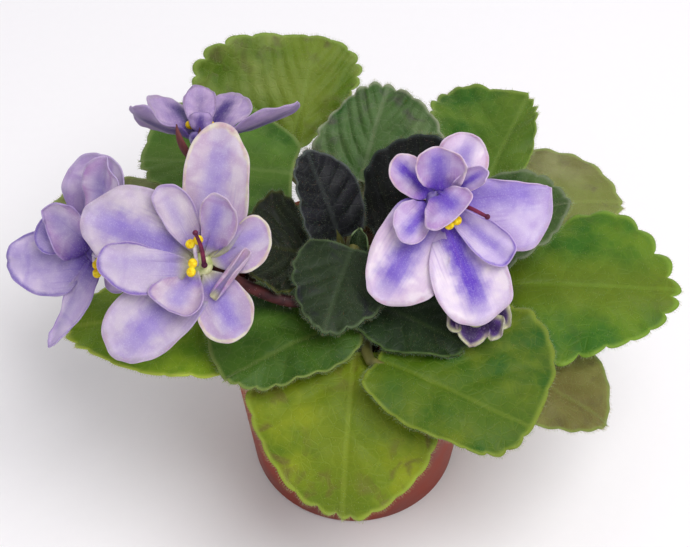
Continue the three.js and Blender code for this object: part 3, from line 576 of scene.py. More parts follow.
# leaves: a quilted blade on its fleshy stalk, hairy all over
leafForm = {
    "segments": 60, "middle": 0.46, "lobe": 0.07, "ragged": 0, "roll": 0, "depth": 0, "thickness": 0.9,  # mm
    "teeth": {"outer": 20, "middle": 18, "young": 16},
    "stalkRadius": 1.7, "stalkStart": 5.75, "stalkTip": 0.4, "veinsASide": 6, "slope": 1,
    "quiltHeight": 1.3, "groove": 0.5, "grooveHalf": 0.9, "pucker": 0.6, "puckerSize": 6, "frill": 0.25,
    "hairRadius": 0.025, "rimHair": (0.5, 1), "skinHair": (0.3, 0.6), "hairSpread": 0.5,
    "rimHairs": 3, "skinHairs": 650,  # at each point of the rim, and on each blade
}
leaves = {
    "outer_leaf_01": dict(  # right
        slot="outer_leaf", root=(355, 61.5), sag=1, start=(358, 32.5, 64.8), heading=360, pitch=(2, -10),
        roll=8, cup=-12, wave=0.9, length=42, left=(21, 0.9, 0.5), right=(22.5, 0.2, 0.55), sweep=2.5,
        skin="#3e6704", light="#54740b", heart="#5d6e02", rim="#7b9a30", blotch="#474e16", blotches=0.25,
        quilt=0.25, tooth=0.05),
    "outer_leaf_02": dict(  # right, behind and below it
        slot="old_leaf", root=(30, 58.2), sag=-0.8, start=(37, 35.5, 63.4), heading=14, pitch=(1, -16),
        roll=6, cup=-8, wave=0.5, length=39.5, left=(19, 0.45, 0.5), right=(14.5, 0.4, 0.65), sweep=1.5,
        skin="#706f3f", light="#7f7f50", heart="#727d36", rim="#8d9c50", blotch="#615941", blotches=0.6,
        quilt=0.2, tooth=0.012),
    "outer_leaf_03": dict(  # back right
        slot="outer_leaf", root=(45, 61.5), sag=1, start=(38, 38.5, 70), heading=65, pitch=(14, 6),
        roll=-12, cup=8, wave=1, length=30, left=(20.5, 0.75, 0.25), right=(8.5, 0.35, 0.65), sweep=1,
        skin="#375e0a", light="#4f6d17", heart="#4f690b", rim="#7e933e", blotch="#404d19", blotches=0.25,
        quilt=0.45, tooth=0.04),
    "outer_leaf_04": dict(  # back
        slot="outer_leaf", root=(95, 58.2), sag=-1.2, start=(110, 45, 66), heading=75, pitch=(40, 28),
        roll=13, cup=8, wave=1, slope=2, length=28.5, left=(24.5, 0.5, 0.65), right=(15.5, 0.85, 0.45),
        sweep=3.5, skin="#566d17", light="#6d7e30", heart="#687a18", rim="#819843", blotch="#55512b",
        blotches=0.7, quilt=0.55, tooth=0.04),
    "outer_leaf_05": dict(  # back left
        slot="mid_leaf", root=(120, 61.5), sag=1, start=(118, 32, 70.5), heading=176, pitch=(8, 2), cup=6,
        wave=0.9, slope=1.5, lobe=0.11, length=36.5, left=(18, 0.3, 0.6), right=(19.5, 0.45, 0.35),
        sweep=-1, skin="#355b11", light="#4b6e22", heart="#496717", rim="#778a49", blotch="#3c4f1b",
        blotches=0.2, quilt=0.5, tooth=0.045),
    "outer_leaf_06": dict(  # left, low
        slot="old_leaf", root=(152, 58.2), sag=-0.8, start=(158, 35.5, 63.2), heading=157, pitch=(-2, -12),
        cup=-8, wave=0.4, length=45, left=(13, 0.4, 0.5), right=(16, 0.4, 0.55), sweep=1, skin="#666a3a",
        light="#797f4b", heart="#667033", rim="#879350", blotch="#575436", blotches=0.5, quilt=0.2,
        tooth=0.015),
    "outer_leaf_07": dict(  # left
        slot="outer_leaf", root=(203, 57.8), sag=1, start=(204, 27, 65.4), heading=179, pitch=(-1, -12),
        cup=-8, wave=0.8, length=42, left=(18.5, 0.25, 0.6), right=(13, 0.4, 0.5), sweep=-2.5,
        skin="#5b8509", light="#7a9a16", heart="#73920e", rim="#b4c24a", blotch="#607117", blotches=0.2,
        quilt=0.3, tooth=0.025),
    "outer_leaf_08": dict(  # front
        slot="outer_leaf", root=(268, 57.8), sag=0, start=(269, 22, 66), heading=265, pitch=(-4, -62),
        cup=-8, wave=0.8, length=38, left=(18.5, 0.45, 0.6), right=(23.5, 0.25, 0.65), sweep=1,
        skin="#647803", light="#7a880c", heart="#5f7203", rim="#9bac3d", blotch="#625a21", blotches=0.9,
        quilt=0.3, tooth=0.025),
    "outer_leaf_09": dict(  # front right
        slot="mid_leaf", root=(294, 61.5), sag=-2.4, start=(280, 26.5, 70), heading=333, pitch=(0, -12),
        cup=-4, wave=0.9, length=36.5, left=(25.5, 0.5, 0.25), right=(15.5, 0.45, 0.45), sweep=3,
        skin="#395b02", light="#576c0c", heart="#456101", rim="#7f8f2d", blotch="#3f4d0c", blotches=0.25,
        quilt=0.3, tooth=0.022),
    "outer_leaf_10": dict(  # right, in front and below
        slot="old_leaf", root=(325, 57.8), sag=0.5, start=(323, 29, 63.4), heading=339, pitch=(-8, -30),
        cup=-10, wave=0.4, length=38.5, left=(18, 0.4, 0.5), right=(14, 0.35, 0.65), sweep=2,
        skin="#66632a", light="#78773c", heart="#615926", rim="#7c8c3e", blotch="#534a26", blotches=0.6,
        quilt=0.2, tooth=0.01),
    "outer_leaf_11": dict(  # front left
        slot="mid_leaf", root=(246, 61.5), sag=1, start=(263, 15.5, 70.3), heading=211, pitch=(2, -8),
        cup=-10, wave=0.9, length=31, left=(11, 0.4, 0.65), right=(20.5, 0.45, 0.4), sweep=-1.5,
        skin="#2b4e08", light="#416418", heart="#345407", rim="#7a8a41", blotch="#26400f", blotches=0.3,
        quilt=0.35, tooth=0.03),
    "middle_leaf_01": dict(  # right
        slot="mid_leaf", root=(18, 65), sag=1, start=(23, 21, 74), heading=7, pitch=(12, 2), cup=8,
        wave=0.8, length=30.5, left=(12.5, 0.45, 0.45), right=(17, 0.3, 0.8), sweep=-0.5, skin="#2e4917",
        light="#445b29", heart="#364e17", rim="#717b5e", blotch="#29381e", blotches=0.3, quilt=0.35,
        tooth=0.04),
    "middle_leaf_02": dict(  # back
        slot="mid_leaf", root=(100, 65), sag=1, start=(87, 24.5, 72), heading=70, pitch=(42, 30), cup=14,
        wave=1, slope=2, length=24, left=(15, 0.3, 0.6), right=(15.5, 0.4, 0.55), sweep=-2.5,
        skin="#3a5a27", light="#597142", heart="#3e5e25", rim="#8d9477", blotch="#413e39", blotches=0.8,
        quilt=0.7, tooth=0.045),
    # the inner leaves hold painted shade as well as their own dark green and grey-purple: their colours are
    # set darker for the shade of the leaves and blooms over them
    "middle_leaf_03": dict(  # front right
        slot="young_leaf", root=(305, 65), sag=1, start=(283, 12.5, 73), heading=331, pitch=(0, -8), cup=-8,
        wave=0.8, length=24.5, left=(10.5, 0.4, 0.5), right=(12, 0.35, 0.6), sweep=2.5, skin="#0e2404",
        light="#162f07", heart="#112704", rim="#485f2a", blotch="#0d1804", blotches=0.4, quilt=0.3,
        tooth=0.03),
    "middle_leaf_04": dict(  # left
        slot="young_leaf", root=(180, 65), sag=1, start=(179, 10.5, 73.5), heading=186, pitch=(30, 14),
        cup=10, wave=0.7, length=16, left=(14.5, 0.45, 0.35), right=(15, 0.3, 0.55), sweep=-1,
        skin="#0b1402", light="#141f07", heart="#091102", rim="#434813", blotch="#050701", blotches=0.6,
        quilt=0.5, tooth=0.03),
    "young_leaf_01": dict(  # back right
        slot="young_leaf", root=(56, 68), sag=0.5, start=(42, 7.5, 73.5), heading=31, pitch=(60, 48),
        cup=14, wave=0.6, length=28.5, left=(9, 0.5, 0.65), right=(8, 0.4, 0.5), sweep=3.5, skin="#040707",
        light="#080d0d", heart="#020303", rim="#333c38", blotch="#020204", blotches=0.8, quilt=0.5,
        tooth=0.03),
    "young_leaf_02": dict(  # back left
        slot="young_leaf", root=(140, 68), sag=0.5, start=(129, 5, 74.5), heading=128, pitch=(60, 48),
        cup=20, wave=0.5, length=22.5, left=(9.2, 0.3, 0.55), right=(7, 0.4, 0.65), sweep=-1.5,
        skin="#191c1e", light="#26262d", heart="#07080d", rim="#525955", blotch="#14101a", blotches=0.8,
        quilt=0.4, tooth=0.03),
    "young_leaf_03": dict(  # front
        slot="young_leaf", root=(262, 68), sag=0.5, start=(256, 3.5, 80), heading=254, pitch=(0, -14),
        cup=-8, wave=0.7, length=22.5, left=(8, 0.45, 0.55), right=(13.5, 0.3, 0.65), sweep=2.5,
        skin="#18290f", light="#23331a", heart="#1d2d11", rim="#516340", blotch="#14161c", blotches=1.0,
        quilt=0.35, tooth=0.04),
}
leafHairs = {
    "outer_leaf": paleHair("outer leaf hair", "#93a45c", "#b9c48a"),
    "mid_leaf": paleHair("middle leaf hair", "#7d8f58", "#a3af80"),
    "young_leaf": paleHair("young leaf hair", "#5b6650", "#828c74"),
    "old_leaf": paleHair("old leaf hair", "#8c8a5c", "#b0ac84"),
}
leafStalkSkin = juicyTissue("fleshy leaf stalk", {"dark": "#46471f", "light": "#6f6c38", "mottle": 5,
                                                  "grain": 0.6})


def leafVeins(blade, along, across):
    # where a point lies between side veins (whole numbers on one), and how far from the midrib
    length = blade["length"]
    forward = (0.35 + 0.6 * along / length) * blade["slope"] * abs(across)
    return (along - forward) / length * leafForm["veinsASide"] + 3, abs(across) / 100


def leafRelief(blade, along, across, out, angle):
    phase = leafVeins(blade, along, across)[0]
    nearMidrib = min(1, abs(across) / 4)
    pillow = abs(math.sin(math.pi * phase)) ** 0.8 - 0.6  # raised between veins
    quilted = blade["quiltHeight"] * blade["quilt"] * pillow * nearMidrib * (1 - 0.5 * out ** 4)
    groove = -blade["groove"] * math.exp(-(across / blade["grooveHalf"]) ** 2) * (1 - along / blade["length"])
    size = blade["puckerSize"]
    pucker = blade["pucker"] * noise.noise(Vector((along / size, across / size, blade["seed"] * 7)))
    frill = blade["frill"] * out ** 8 * math.sin(blade["teeth"] * angle + blade["seed"])
    return quilted + groove + pucker + frill


def leafStalk(blade):
    # from the crown, sagging on the way, to where it runs out along the blade's underside
    rootCompass, rootHeight = blade["root"]
    start, drop = leafForm["stalkStart"], blade["thickness"]
    root = polar(rootCompass, start, rootHeight)
    below = bentPoint(blade, -2, 0, -drop - leafForm["stalkRadius"] * 0.7)
    half = (root + below) / 2 - Vector((0, 0, blade["sag"]))
    return [root, polar(rootCompass, start + 1.5, rootHeight), half, below,
            bentPoint(blade, blade["length"] * 0.12, 0, -drop - 1),
            bentPoint(blade, blade["length"] * 0.45, 0, -drop - 0.1)]


def makeLeaf(node, look):
    kind = node.split("_")[0]
    blade = {**leafForm, **look, "start": polar(*look["start"]), "teeth": leafForm["teeth"][kind]}
    bm = bmesh.new()
    upper = addBlade(bm, blade, leafRelief, leafVeins, 0)
    draw = random.Random(look["seed"])
    edge, upward = bm.verts.layers.float["edge"], bm.verts.layers.float_vector["upward"]
    centre = bentPoint(blade, blade["middle"] * blade["length"], 0, 0)
    spread, hairs = leafForm["hairSpread"], []
    for vert in upper:
        if vert[edge] > 0.999:  # on the rim
            for again in range(leafForm["rimHairs"]):
                away = (vert.co - centre).normalized() + someDirection(draw) * spread
                foot = vert.co - vert[upward] * blade["thickness"] * 0.2
                hairs.append((foot, away.normalized() * draw.uniform(*leafForm["rimHair"])))
    for vert in draw.sample(upper, leafForm["skinHairs"]):
        away = vert[upward].copy() + someDirection(draw) * spread
        hairs.append((vert.co.copy(), away.normalized() * draw.uniform(*leafForm["skinHair"])))
    wide, narrow = leafForm["stalkRadius"], leafForm["stalkTip"]
    addTube(bm, leafStalk(blade), lambda share: wide + (narrow - wide) * share ** 1.5, 12, 16, 1)
    addHairs(bm, hairs, leafForm["hairRadius"], 2)
    skin = velvetLeaf("velvet leaf " + node[:-3] + node[-2:], look)
    finishPiece(bm, node, [skin, leafStalkSkin, leafHairs[look["slot"]]])


for seed, (node, look) in enumerate(leaves.items(), 1):
    makeLeaf(node, {**look, "seed": seed})
print("leaves made:", len(leaves))


# blooms: petals in layers round a throat, stamens and a pistil
petalForm = {
    "segments": 36, "middle": 0.58, "lobe": 0, "teeth": 1, "tooth": 0, "ragged": 0.06, "sweep": 0, "roll": 0,
    "thickness": 0.55, "circle": 1.6, "ahead": 0, "depth": 0,  # depth: painted shade, how much darker than its bloom a petal is; below 0 it is painted light and the petal is paler
    "wave": 0.4, "ripple": 0.2, "frill": 0.5, "crumple": 0.4, "curl": 0.5, "crease": 0, "lip": 0,  # mm
}
throatForm = {
    "profile": [(0, -4.5), (1.4, -4.5), (2, -3.6), (2, -2), (2.6, -0.2), (2.6, 0.4), (1.9, 1.2), (1.14, 1.25),
                (0, 0.9)],
    "segments": 24, "foot": 1.75,  # foot: where stamens and pistil start
}
stamenForm = {"lobe": 1.15, "filament": 0.42, "apart": 0.4, "slit": 0.2, "slitHalf": 0.16}
pistilForm = {"radius": 0.4, "footWidening": 0.3, "stigma": 0.62, "ovary": 0.7}
calyxForm = {
    "turns": (54, 126, 198, 270, 342), "lengths": [6.6] * 5, "sepalSide": (1.2, 0.5, 0.9), "pitch": (24, 30),
    "behind": 6.4, "circle": 0.8, "footRadius": 1, "topRadius": 1.7, "height": 1.6, "rounding": 0.35,
}

# each petal: as in the leaves' outline, with half width and bluntness at base and tip on each side; its tone
# is how much violet band, cream edge, pink flush and violet edge it has
blooms = {
    "front": dict(
        place=(-33, -15, 88), faces=(-90, 50), anthers=((-1, 4.6, 4.8, 27), (-1.5, -0.8, 4.8, 80)),
        stamenFoot=(-0.7, 0), pistilFoot=(0.9, -0.2), pistil=(-0.4, 6.4, 8.6), petals=[
            dict(clock=80, pitch=(14, 2), length=30.3, left=(6.8, 0.75, 0.5), right=(8, 0.4, 0.5), cup=16,
                 tone=(0.5, 0.9, 0.3, 0.2)),
            dict(clock=156, pitch=(12, 0), length=27.4, left=(8.4, 0.8, 0.6), right=(9.8, 0.6, 0.6), cup=10,
                 sweep=-0.7, tone=(0.7, 0.2, 0, 0.4)),
            dict(clock=229, depth=0.1, pitch=(12, 0), length=26.8, left=(8.1, 0.4, 0.55), right=(8.1, 1, 0.5),
                 cup=10, sweep=-0.6, tone=(0.6, 0.3, 0, 0.6)),
            dict(clock=299, depth=0.15, pitch=(16, -4), length=18.2, left=(5.8, 0.8, 0.6),
                 right=(6.4, 1, 0.55), cup=8, tone=(0.7, 0.9, 0.3, 0.1)),
            dict(clock=29, depth=0.15, pitch=(20, -4), length=16.8, left=(5.1, 1.2, 0.45),
                 right=(4.9, 0.8, 0.6), cup=10, sweep=-1.8, tone=(0.5, 1, 0.4, 0)),
            dict(clock=178, depth=0.1, pitch=(20, 10), length=22, left=(6.2, 0.75, 0.6),
                 right=(4.9, 0.9, 0.45), cup=20, sweep=1, ahead=0.7, tone=(0.3, 0, 0, 0.9)),
            dict(clock=117, pitch=(18, 14), length=18.8, left=(3.5, 1, 0.45), right=(4.4, 1, 0.45), cup=20,
                 sweep=-0.5, ahead=0.7, tone=(0.3, 0, 0.1, 0.5)),
            dict(clock=70, depth=0.25, pitch=(36, 34), length=18, left=(4, 1.1, 0.45), right=(4.5, 1, 0.5),
                 cup=18, sweep=-0.8, ahead=0.8, tone=(0.6, 0.3, 0.5, 0.3)),
            dict(clock=53, root=290, out=7.7, pitch=(12, 2), length=14.6, left=(2, 0.3, 0.3),
                 right=(2, 0.3, 0.3), cup=150, ahead=1.9, tone=(0.4, 0.2, 1, 0.3)),
            dict(clock=238, pitch=(28, 22), length=12.8, left=(5.2, 1, 0.35), right=(6.2, 1.1, 0.22), cup=24,
                 ahead=0.7, lip=2.6, tone=(0.6, 0, 0.3, 0.6)),
        ]),
    "right": dict(
        place=(17.5, -3, 95), faces=(-90, 50), anthers=((2.9, -5, 5.2, 30), (1, -2.4, 4, 30)),
        stamenFoot=(-0.3, -1.2), pistilFoot=(1.2, -0.3), pistil=(10, -3.8, 6.6), petals=[
            dict(clock=61, pitch=(14, 2), length=16.1, left=(5.3, 0.8, 0.55), right=(6.2, 0.6, 0.55), cup=12,
                 tone=(0.6, 0.5, 0.2, 0.6)),
            dict(clock=138, depth=0.25, pitch=(18, 6), length=13.4, left=(4.2, 0.7, 0.55),
                 right=(3.6, 0.9, 0.5), cup=24, tone=(1, 0.6, 0.5, 0.3)),
            dict(clock=239, depth=-0.1, pitch=(10, -5), length=25.3, left=(8.3, 0.8, 0.55),
                 right=(9.2, 0.35, 0.5), cup=8, sweep=1.6, tone=(1, 0.4, 0.2, 0.5)),
            dict(clock=291, pitch=(14, -5), length=28.3, left=(8.6, 1.05, 0.45), right=(8, 1, 0.55), cup=8,
                 tone=(1, 0.3, 0, 0.5)),
            dict(clock=6, depth=0.35, pitch=(12, -6), length=24.5, left=(7.7, 0.35, 0.8),
                 right=(9.8, 1.35, 0.5), cup=8, sweep=-4, tone=(0.6, 0.3, 0.1, 0.8)),
            dict(clock=320, depth=0.3, curl=1.2, pitch=(20, 6), length=20.5, left=(3.9, 1, 0.4),
                 right=(3.9, 1.05, 0.4), cup=18, ahead=0.5, tone=(0.6, 0, 0, 0.8)),
            dict(clock=226, depth=0.25, pitch=(36, 14), length=13, left=(3.8, 0.85, 0.45),
                 right=(4.7, 0.8, 0.55), cup=18, sweep=-0.5, ahead=0.7, tone=(0.9, 0.2, 0.3, 0.4)),
            dict(clock=92, depth=0.3, curl=1.5, pitch=(41, 30), length=13, left=(5.7, 1, 0.45),
                 right=(5.8, 0.9, 0.5), cup=40, sweep=-0.5, ahead=0.7, tone=(0.8, 0.6, 0.5, 0.4)),
            dict(clock=314, depth=0.35, root=90, pitch=(83, 13), length=11.7, left=(4.9, 1.2, 0.35),
                 right=(7.2, 1.2, 0.3), cup=12, sweep=-0.6, ahead=0.8, tone=(0.9, 0.3, 0.5, 0.5)),
            dict(clock=32, depth=0.4, pitch=(44, 40), length=14.5, left=(2.2, 1.2, 0.4),
                 right=(2.4, 1.2, 0.4), cup=30, ahead=0.6, tone=(0.9, 0.2, 0.5, 0.4)),
        ]),
    "back": dict(
        place=(-34, 12, 99), faces=(90, 42), anthers=((-1.2, -0.6, 2.75, 160), (1.4, -0.4, 2.75, 20)),
        stamenFoot=(0, -0.6), pistilFoot=(0, 0.7), pistil=(-0.4, 1.2, 4),
        sepals={"turns": (50, 94, 198, 270, 342), "lengths": (10.5, 9.5, 3.6, 3.6, 3.6), "pitch": (24, 84),
                "circle": 1.2},
        petals=[
            dict(clock=356, pitch=(22, 22), length=16.6, left=(7.3, 1, 0.45), right=(8, 0.95, 0.55), cup=5,
                 sweep=-0.5, roll=20, tone=(1, 0.3, 0, 0.6)),
            dict(clock=170, pitch=(9, 28), length=23.6, left=(6.4, 1, 0.45), right=(6.6, 1, 0.5), cup=12,
                 sweep=-0.5, tone=(1, 0.3, 0, 0.6)),
            dict(clock=240, pitch=(46, 39), length=17.2, left=(5, 0.95, 0.5), right=(7.1, 0.5, 0.6), cup=4,
                 sweep=-1, roll=7, tone=(1, 0.3, 0, 0.6)),
            dict(clock=309, pitch=(49, 36), length=14.5, left=(9.2, 0.75, 0.5), right=(7.3, 1, 0.45), cup=5,
                 sweep=1.3, roll=13, tone=(1, 0.3, 0, 0.6)),
            dict(clock=276, pitch=(71, 67), length=13.5, left=(3.8, 0.9, 0.5), right=(3.5, 0.9, 0.5), cup=16,
                 ahead=0.7, tone=(0.5, 0.2, 0, 0.8)),
            dict(clock=96, pitch=(70, 84), length=6.4, left=(2.8, 0.8, 0.45), right=(2.8, 0.8, 0.45), cup=50,
                 ahead=0.7, tone=(1, 0, 0, 0.8)),
        ]),
    "left": dict(
        place=(-57.6, -3.8, 79.3), faces=(-115, 45), anthers=((3.6, -0.4, 4, 70), (3.2, -3, 4, 110)),
        stamenFoot=(0.4, -0.6), pistilFoot=(0.4, 1.2), pistil=(5.2, 2.8, 4.4), petals=[
            dict(clock=96, pitch=(24, 15), length=23.2, left=(7.6, 0.8, 0.55), right=(8.1, 0.9, 0.55), cup=24,
                 tone=(0.3, 0.3, 0.3, 0.5)),
            dict(clock=204, pitch=(14, 2), length=21.6, left=(8.2, 0.6, 0.7), right=(7, 0.55, 0.6), cup=10,
                 sweep=1, tone=(0.4, 0.1, 0, 0.9)),
            dict(clock=264, pitch=(14, 9), length=23.7, left=(5.3, 0.7, 0.55), right=(2.8, 0.6, 0.6), cup=10,
                 sweep=0.7, roll=42, tone=(0.3, 0.1, 0.2, 0.5)),
            dict(clock=345, pitch=(20, 8), length=12, left=(5, 1, 0.45), right=(5, 1, 0.45), cup=10,
                 tone=(0.5, 0.1, 0.2, 0.5)),
            dict(clock=30, pitch=(20, 8), length=16, left=(6.2, 1, 0.45), right=(6.2, 1, 0.45), cup=10,
                 tone=(0.5, 0.1, 0.2, 0.5)),
            dict(clock=173, depth=0.3, pitch=(30, 16), length=13.9, left=(5.3, 0.85, 0.45),
                 right=(6.3, 0.7, 0.65), cup=16, sweep=-0.8, ahead=0.7, tone=(0.8, 0, 0, 0.7)),
            dict(clock=86, crease=1.2, pitch=(36, 27), length=24.9, left=(4.6, 0.9, 0.4), right=(6.2, 1, 0.5),
                 cup=40, sweep=-0.6, ahead=0.7, tone=(0.5, 0.3, 0.8, 0.5)),
            dict(clock=147, curl=1.5, pitch=(46, 40), length=16, left=(5.7, 0.25, 0.9), right=(5.3, 1, 0.35),
                 cup=30, ahead=0.8, tone=(0.4, 0.1, 0.6, 0.5)),
        ]),
}


def bloomFrame(bloom):
    # right, up and outward for someone whom the bloom faces
    compass, elevation = [math.radians(angle) for angle in bloom["faces"]]
    outward = Vector((math.cos(elevation) * math.cos(compass), math.cos(elevation) * math.sin(compass),
                      math.sin(elevation)))
    right = Vector((0, 0, 1)).cross(outward).normalized()
    up = outward.cross(right)
    turn = Matrix((right, up, outward)).transposed().to_4x4()
    return Matrix.Translation(Vector(bloom["place"])) @ turn


def petalVeins(blade, along, across):
    # how far a point is across and along its petal, from 0 to 1
    half = blade["left" if across > 0 else "right"][0]
    return 0.5 + across / half / 2, along / blade["length"]


def petalRelief(blade, along, across, out, angle):
    # lengthwise ripples that fan out, an uneven frill at the edge, a fold down the middle and soft dents
    share, half = along / blade["length"], blade["left" if across > 0 else "right"][0]
    soften = min(1, half / 4)
    ripple = blade["ripple"] * math.sin(7 * across / half + blade["seed"]) * out * share
    rim = Vector((math.cos(angle), math.sin(angle), blade["seed"]))
    frill = blade["frill"] * out ** 6 * noise.noise(rim * 3.5)
    curl = blade["curl"] * out ** 10 * (0.5 + noise.noise(rim * 1.7))
    crease = -blade["crease"] * math.exp(-(across / 1.1) ** 2) * share
    crumple = blade["crumple"] * noise.noise(Vector((along / 5, across / 4, blade["seed"])))
    lip = blade["lip"] * out ** 6 * max(0, across / half)
    return (ripple + frill + crumple) * soften + curl + crease + lip


def petalBlade(petal):
    # a petal starts on a circle round the throat, straight below its heading unless its root says else
    circle, clock = petalForm["circle"], petal["clock"]
    start = polar(petal.get("root", clock), petal.get("out", circle), petal.get("ahead", petalForm["ahead"]))
    return {**petalForm, **petal, "length": petal["length"] - circle, "heading": clock, "seed": clock,
            "start": start}


def addFunnel(bm, material):
    # the short tube that the petals are joined in
    spinProfile(bm, throatForm["profile"], throatForm["segments"])
    for face in bm.faces:
        face.material_index = material


def makePetals(node, bloom, material, throatMaterial):
    # petals in the order given, all joined to one funnel
    bm = bmesh.new()
    addFunnel(bm, 1)
    for petal in bloom["petals"]:
        addBlade(bm, petalBlade(petal), petalRelief, petalVeins, 0, petal["tone"])
    bmesh.ops.transform(bm, matrix=bloomFrame(bloom), verts=bm.verts)
    finishPiece(bm, node, [material, throatMaterial])


def makeStamens(node, bloom):
    # two pairs of anthers, each pair joined, on short bent filaments
    bm = bmesh.new()
    foot, lobe = throatForm["foot"], stamenForm["lobe"]
    footX, footY = bloom["stamenFoot"]
    for i, (x, y, z, turn) in enumerate(bloom["anthers"]):
        points = [(footX, footY + (i - 0.5) * stamenForm["apart"], foot),
                  (x * 0.45 + footX * 0.6, y * 0.45 + footY * 0.6, foot + (z - foot) * 0.6), (x, y, z)]
        addTube(bm, points, lambda share: stamenForm["filament"], 10, 8, 1)
        turning = Matrix.Rotation(math.radians(turn), 4, "Z")
        apart = turning @ Vector((1, 0, 0))
        for side in (-1, 1):
            centre = Vector((x, y, z)) + apart * side * lobe * 0.8
            made = addBall(bm, centre, (lobe * 0.95, lobe * 0.88, lobe * 0.85), 0, turning, segments=18)
            for vert in made:  # each lobe has a slit across its face
                away = vert.co - centre
                if away.z > 0:
                    inSlit = math.exp(-(away.dot(apart) / stamenForm["slitHalf"]) ** 2)
                    vert.co.z -= stamenForm["slit"] * inSlit * away.z / lobe
    bmesh.ops.transform(bm, matrix=bloomFrame(bloom), verts=bm.verts)
    finishPiece(bm, node, [pollenSac, paleFilament])


def makePistil(node, bloom):
    # an ovary, a bent style and its stigma
    bm = bmesh.new()
    radius, widening = pistilForm["radius"], pistilForm["footWidening"]
    tip = Vector(bloom["pistil"])
    foot = Vector((*bloom["pistilFoot"], throatForm["foot"] + pistilForm["ovary"] * 0.9))
    addBall(bm, foot, [pistilForm["ovary"]] * 3, 0)
    addTube(bm, [foot, (foot + tip) / 2 + Vector((0.3, 0.4, 0.5)), tip],
            lambda share: radius * (1 + widening - widening * share), 10, 16, 0)
    addBall(bm, tip, [pistilForm["stigma"]] * 3, 0)
    bmesh.ops.transform(bm, matrix=bloomFrame(bloom), verts=bm.verts)
    finishPiece(bm, node, [maroonStyle])


petalLooks = {
    "front": {"pale": "#cbbfc8", "wash": "#ab96bb", "band": "#7257bb", "vein": "#7b60aa", "deep": "#bcb98a",
              "line": "#613d9f", "throatEnd": 0.26, "cream": "#d3cdb0", "pink": "#ad7596", "hem": "#c6b3c6"},
    "right": {"pale": "#e8dae4", "wash": "#bfa8d5", "band": "#5d37b4", "vein": "#7338a6", "deep": "#3a1c83",
              "line": "#613aaf", "cream": "#e4d5c6", "pink": "#b7668f", "hem": "#d7c2d7"},
    "back": {"pale": "#c3abca", "wash": "#7d64a5", "band": "#3c2074", "vein": "#5c3f95", "deep": "#331755",
             "line": "#3a1d62", "cream": "#d8c8d0", "pink": "#9a689f", "hem": "#b09bbd"},
    "left": {"pale": "#cdbfd4", "wash": "#9680c0", "band": "#5a40a2", "vein": "#7054b1", "deep": "#4b2e84",
             "line": "#4f329a", "cream": "#cdc6c2", "pink": "#a373a7", "hem": "#baa8cb"},
}
pollenSac = juicyTissue("pollen sac", {"dark": "#e0b400", "light": "#f7e02e", "mottle": 0.8, "grain": 0.25,
                                       "roughness": 0.7})
paleFilament = juicyTissue("pale filament", {"dark": "#c9b8d8", "light": "#e8e0e0", "mottle": 2,
                                             "grain": 0.5})
maroonStyle = juicyTissue("maroon style", {"dark": "#4a1030", "light": "#7a2448", "mottle": 2, "grain": 0.4})
paleThroat = juicyTissue("pale throat", {"dark": "#a8b070", "light": "#d8d8a4", "mottle": 2, "grain": 0.5})
violetThroat = juicyTissue("violet throat", {"dark": "#4b3580", "light": "#8a7ab0", "mottle": 2,
                                             "grain": 0.5})
for where, bloom in blooms.items():
    skin = glistenPetal("glistening petal " + where, petalLooks[where])
    throat = paleThroat if where == "front" else violetThroat
    makePetals(where + "_bloom_petals", bloom, skin, throat)
    makeStamens(where + "_bloom_stamens", bloom)
    makePistil(where + "_bloom_pistil", bloom)
print("blooms made:", len(blooms))


# the bud under the right bloom
bud = {
    "place": (25.9, -20, 76.4), "faces": (-88, 37), "sepals": {"pitch": (34, 44), "lengths": [3.8] * 5},
    "petals": [
        dict(clock=256, pitch=(34, 18), length=7, left=(3.8, 0.4, 0.9), right=(5.2, 0.3, 1), cup=60,
             tone=(1, 1, 0, 0.3)),
        dict(clock=333, pitch=(24, 60), length=7.5, left=(3, 1, 0.4), right=(3, 1, 0.4), cup=20,
             tone=(1, 1, 0, 0.3)),
        dict(clock=12, pitch=(24, 40), length=8.5, left=(3.4, 1, 0.4), right=(3.4, 1, 0.4), cup=20,
             tone=(1, 1, 0, 0.3)),
        dict(clock=95, pitch=(36, 30), length=6.5, left=(3.6, 1, 0.45), right=(3.6, 1, 0.45), cup=40,
             tone=(1, 1, 0, 0.3)),
        dict(clock=178, pitch=(36, 24), length=7.4, left=(3, 1, 0.4), right=(3.4, 1, 0.4), cup=50,
             tone=(1, 1, 0, 0.3)),
    ],
    "look": {"pale": "#6a4a90", "wash": "#4d2f74", "band": "#3a1f5c", "vein": "#4a2c6e", "deep": "#2a1440",
             "line": "#5a3888", "cream": "#d3d2a6", "pink": "#9a6a9a", "hem": "#3d2260", "creamFrom": 0.5},
}
makePetals("bud_petals", bud, glistenPetal("bud petal", bud["look"]), paleThroat)


# flower stems, with a calyx behind each bloom
stems = {
    "left": [
        dict(start=(-4.5, -4.3, 68.6), end=(-29, -9, 77), radii=(1.4, 1.3),
             through=[(-8.4, -8.7, 72.6), (-12.2, -13.4, 73.5), (-18.4, -13.2, 74.8)]),
        dict(start=(-28.6, -9.2, 76.8), through=[(-31.6, -9.6, 79.6)], bloom="front", radii=(1.2, 1)),
        dict(start=(-28.4, -9.2, 76.8), through=[(-31.6, -2, 82), (-34, 5.6, 91)], bloom="back",
             radii=(1.2, 0.9)),
        dict(start=(-28.4, -9.2, 76.8), through=[(-38, -7, 75.4), (-48, -3, 74.6)], bloom="left",
             radii=(1.2, 0.9)),
    ],
    "right": [
        dict(start=(5.9, -0.4, 68.2), through=[(9.3, -1, 74.4)], end=(13, -3.4, 82), radii=(1.4, 1.3)),
        dict(start=(12.9, -3.3, 81.6), through=[(15.4, -1, 86.4)], bloom="right", radii=(1.2, 1)),
        dict(start=(12.8, -3.3, 81.2), through=[(18, -6.4, 81), (22.6, -10, 77.4)], bloom="bud",
             radii=(1.1, 0.9)),
    ],
}
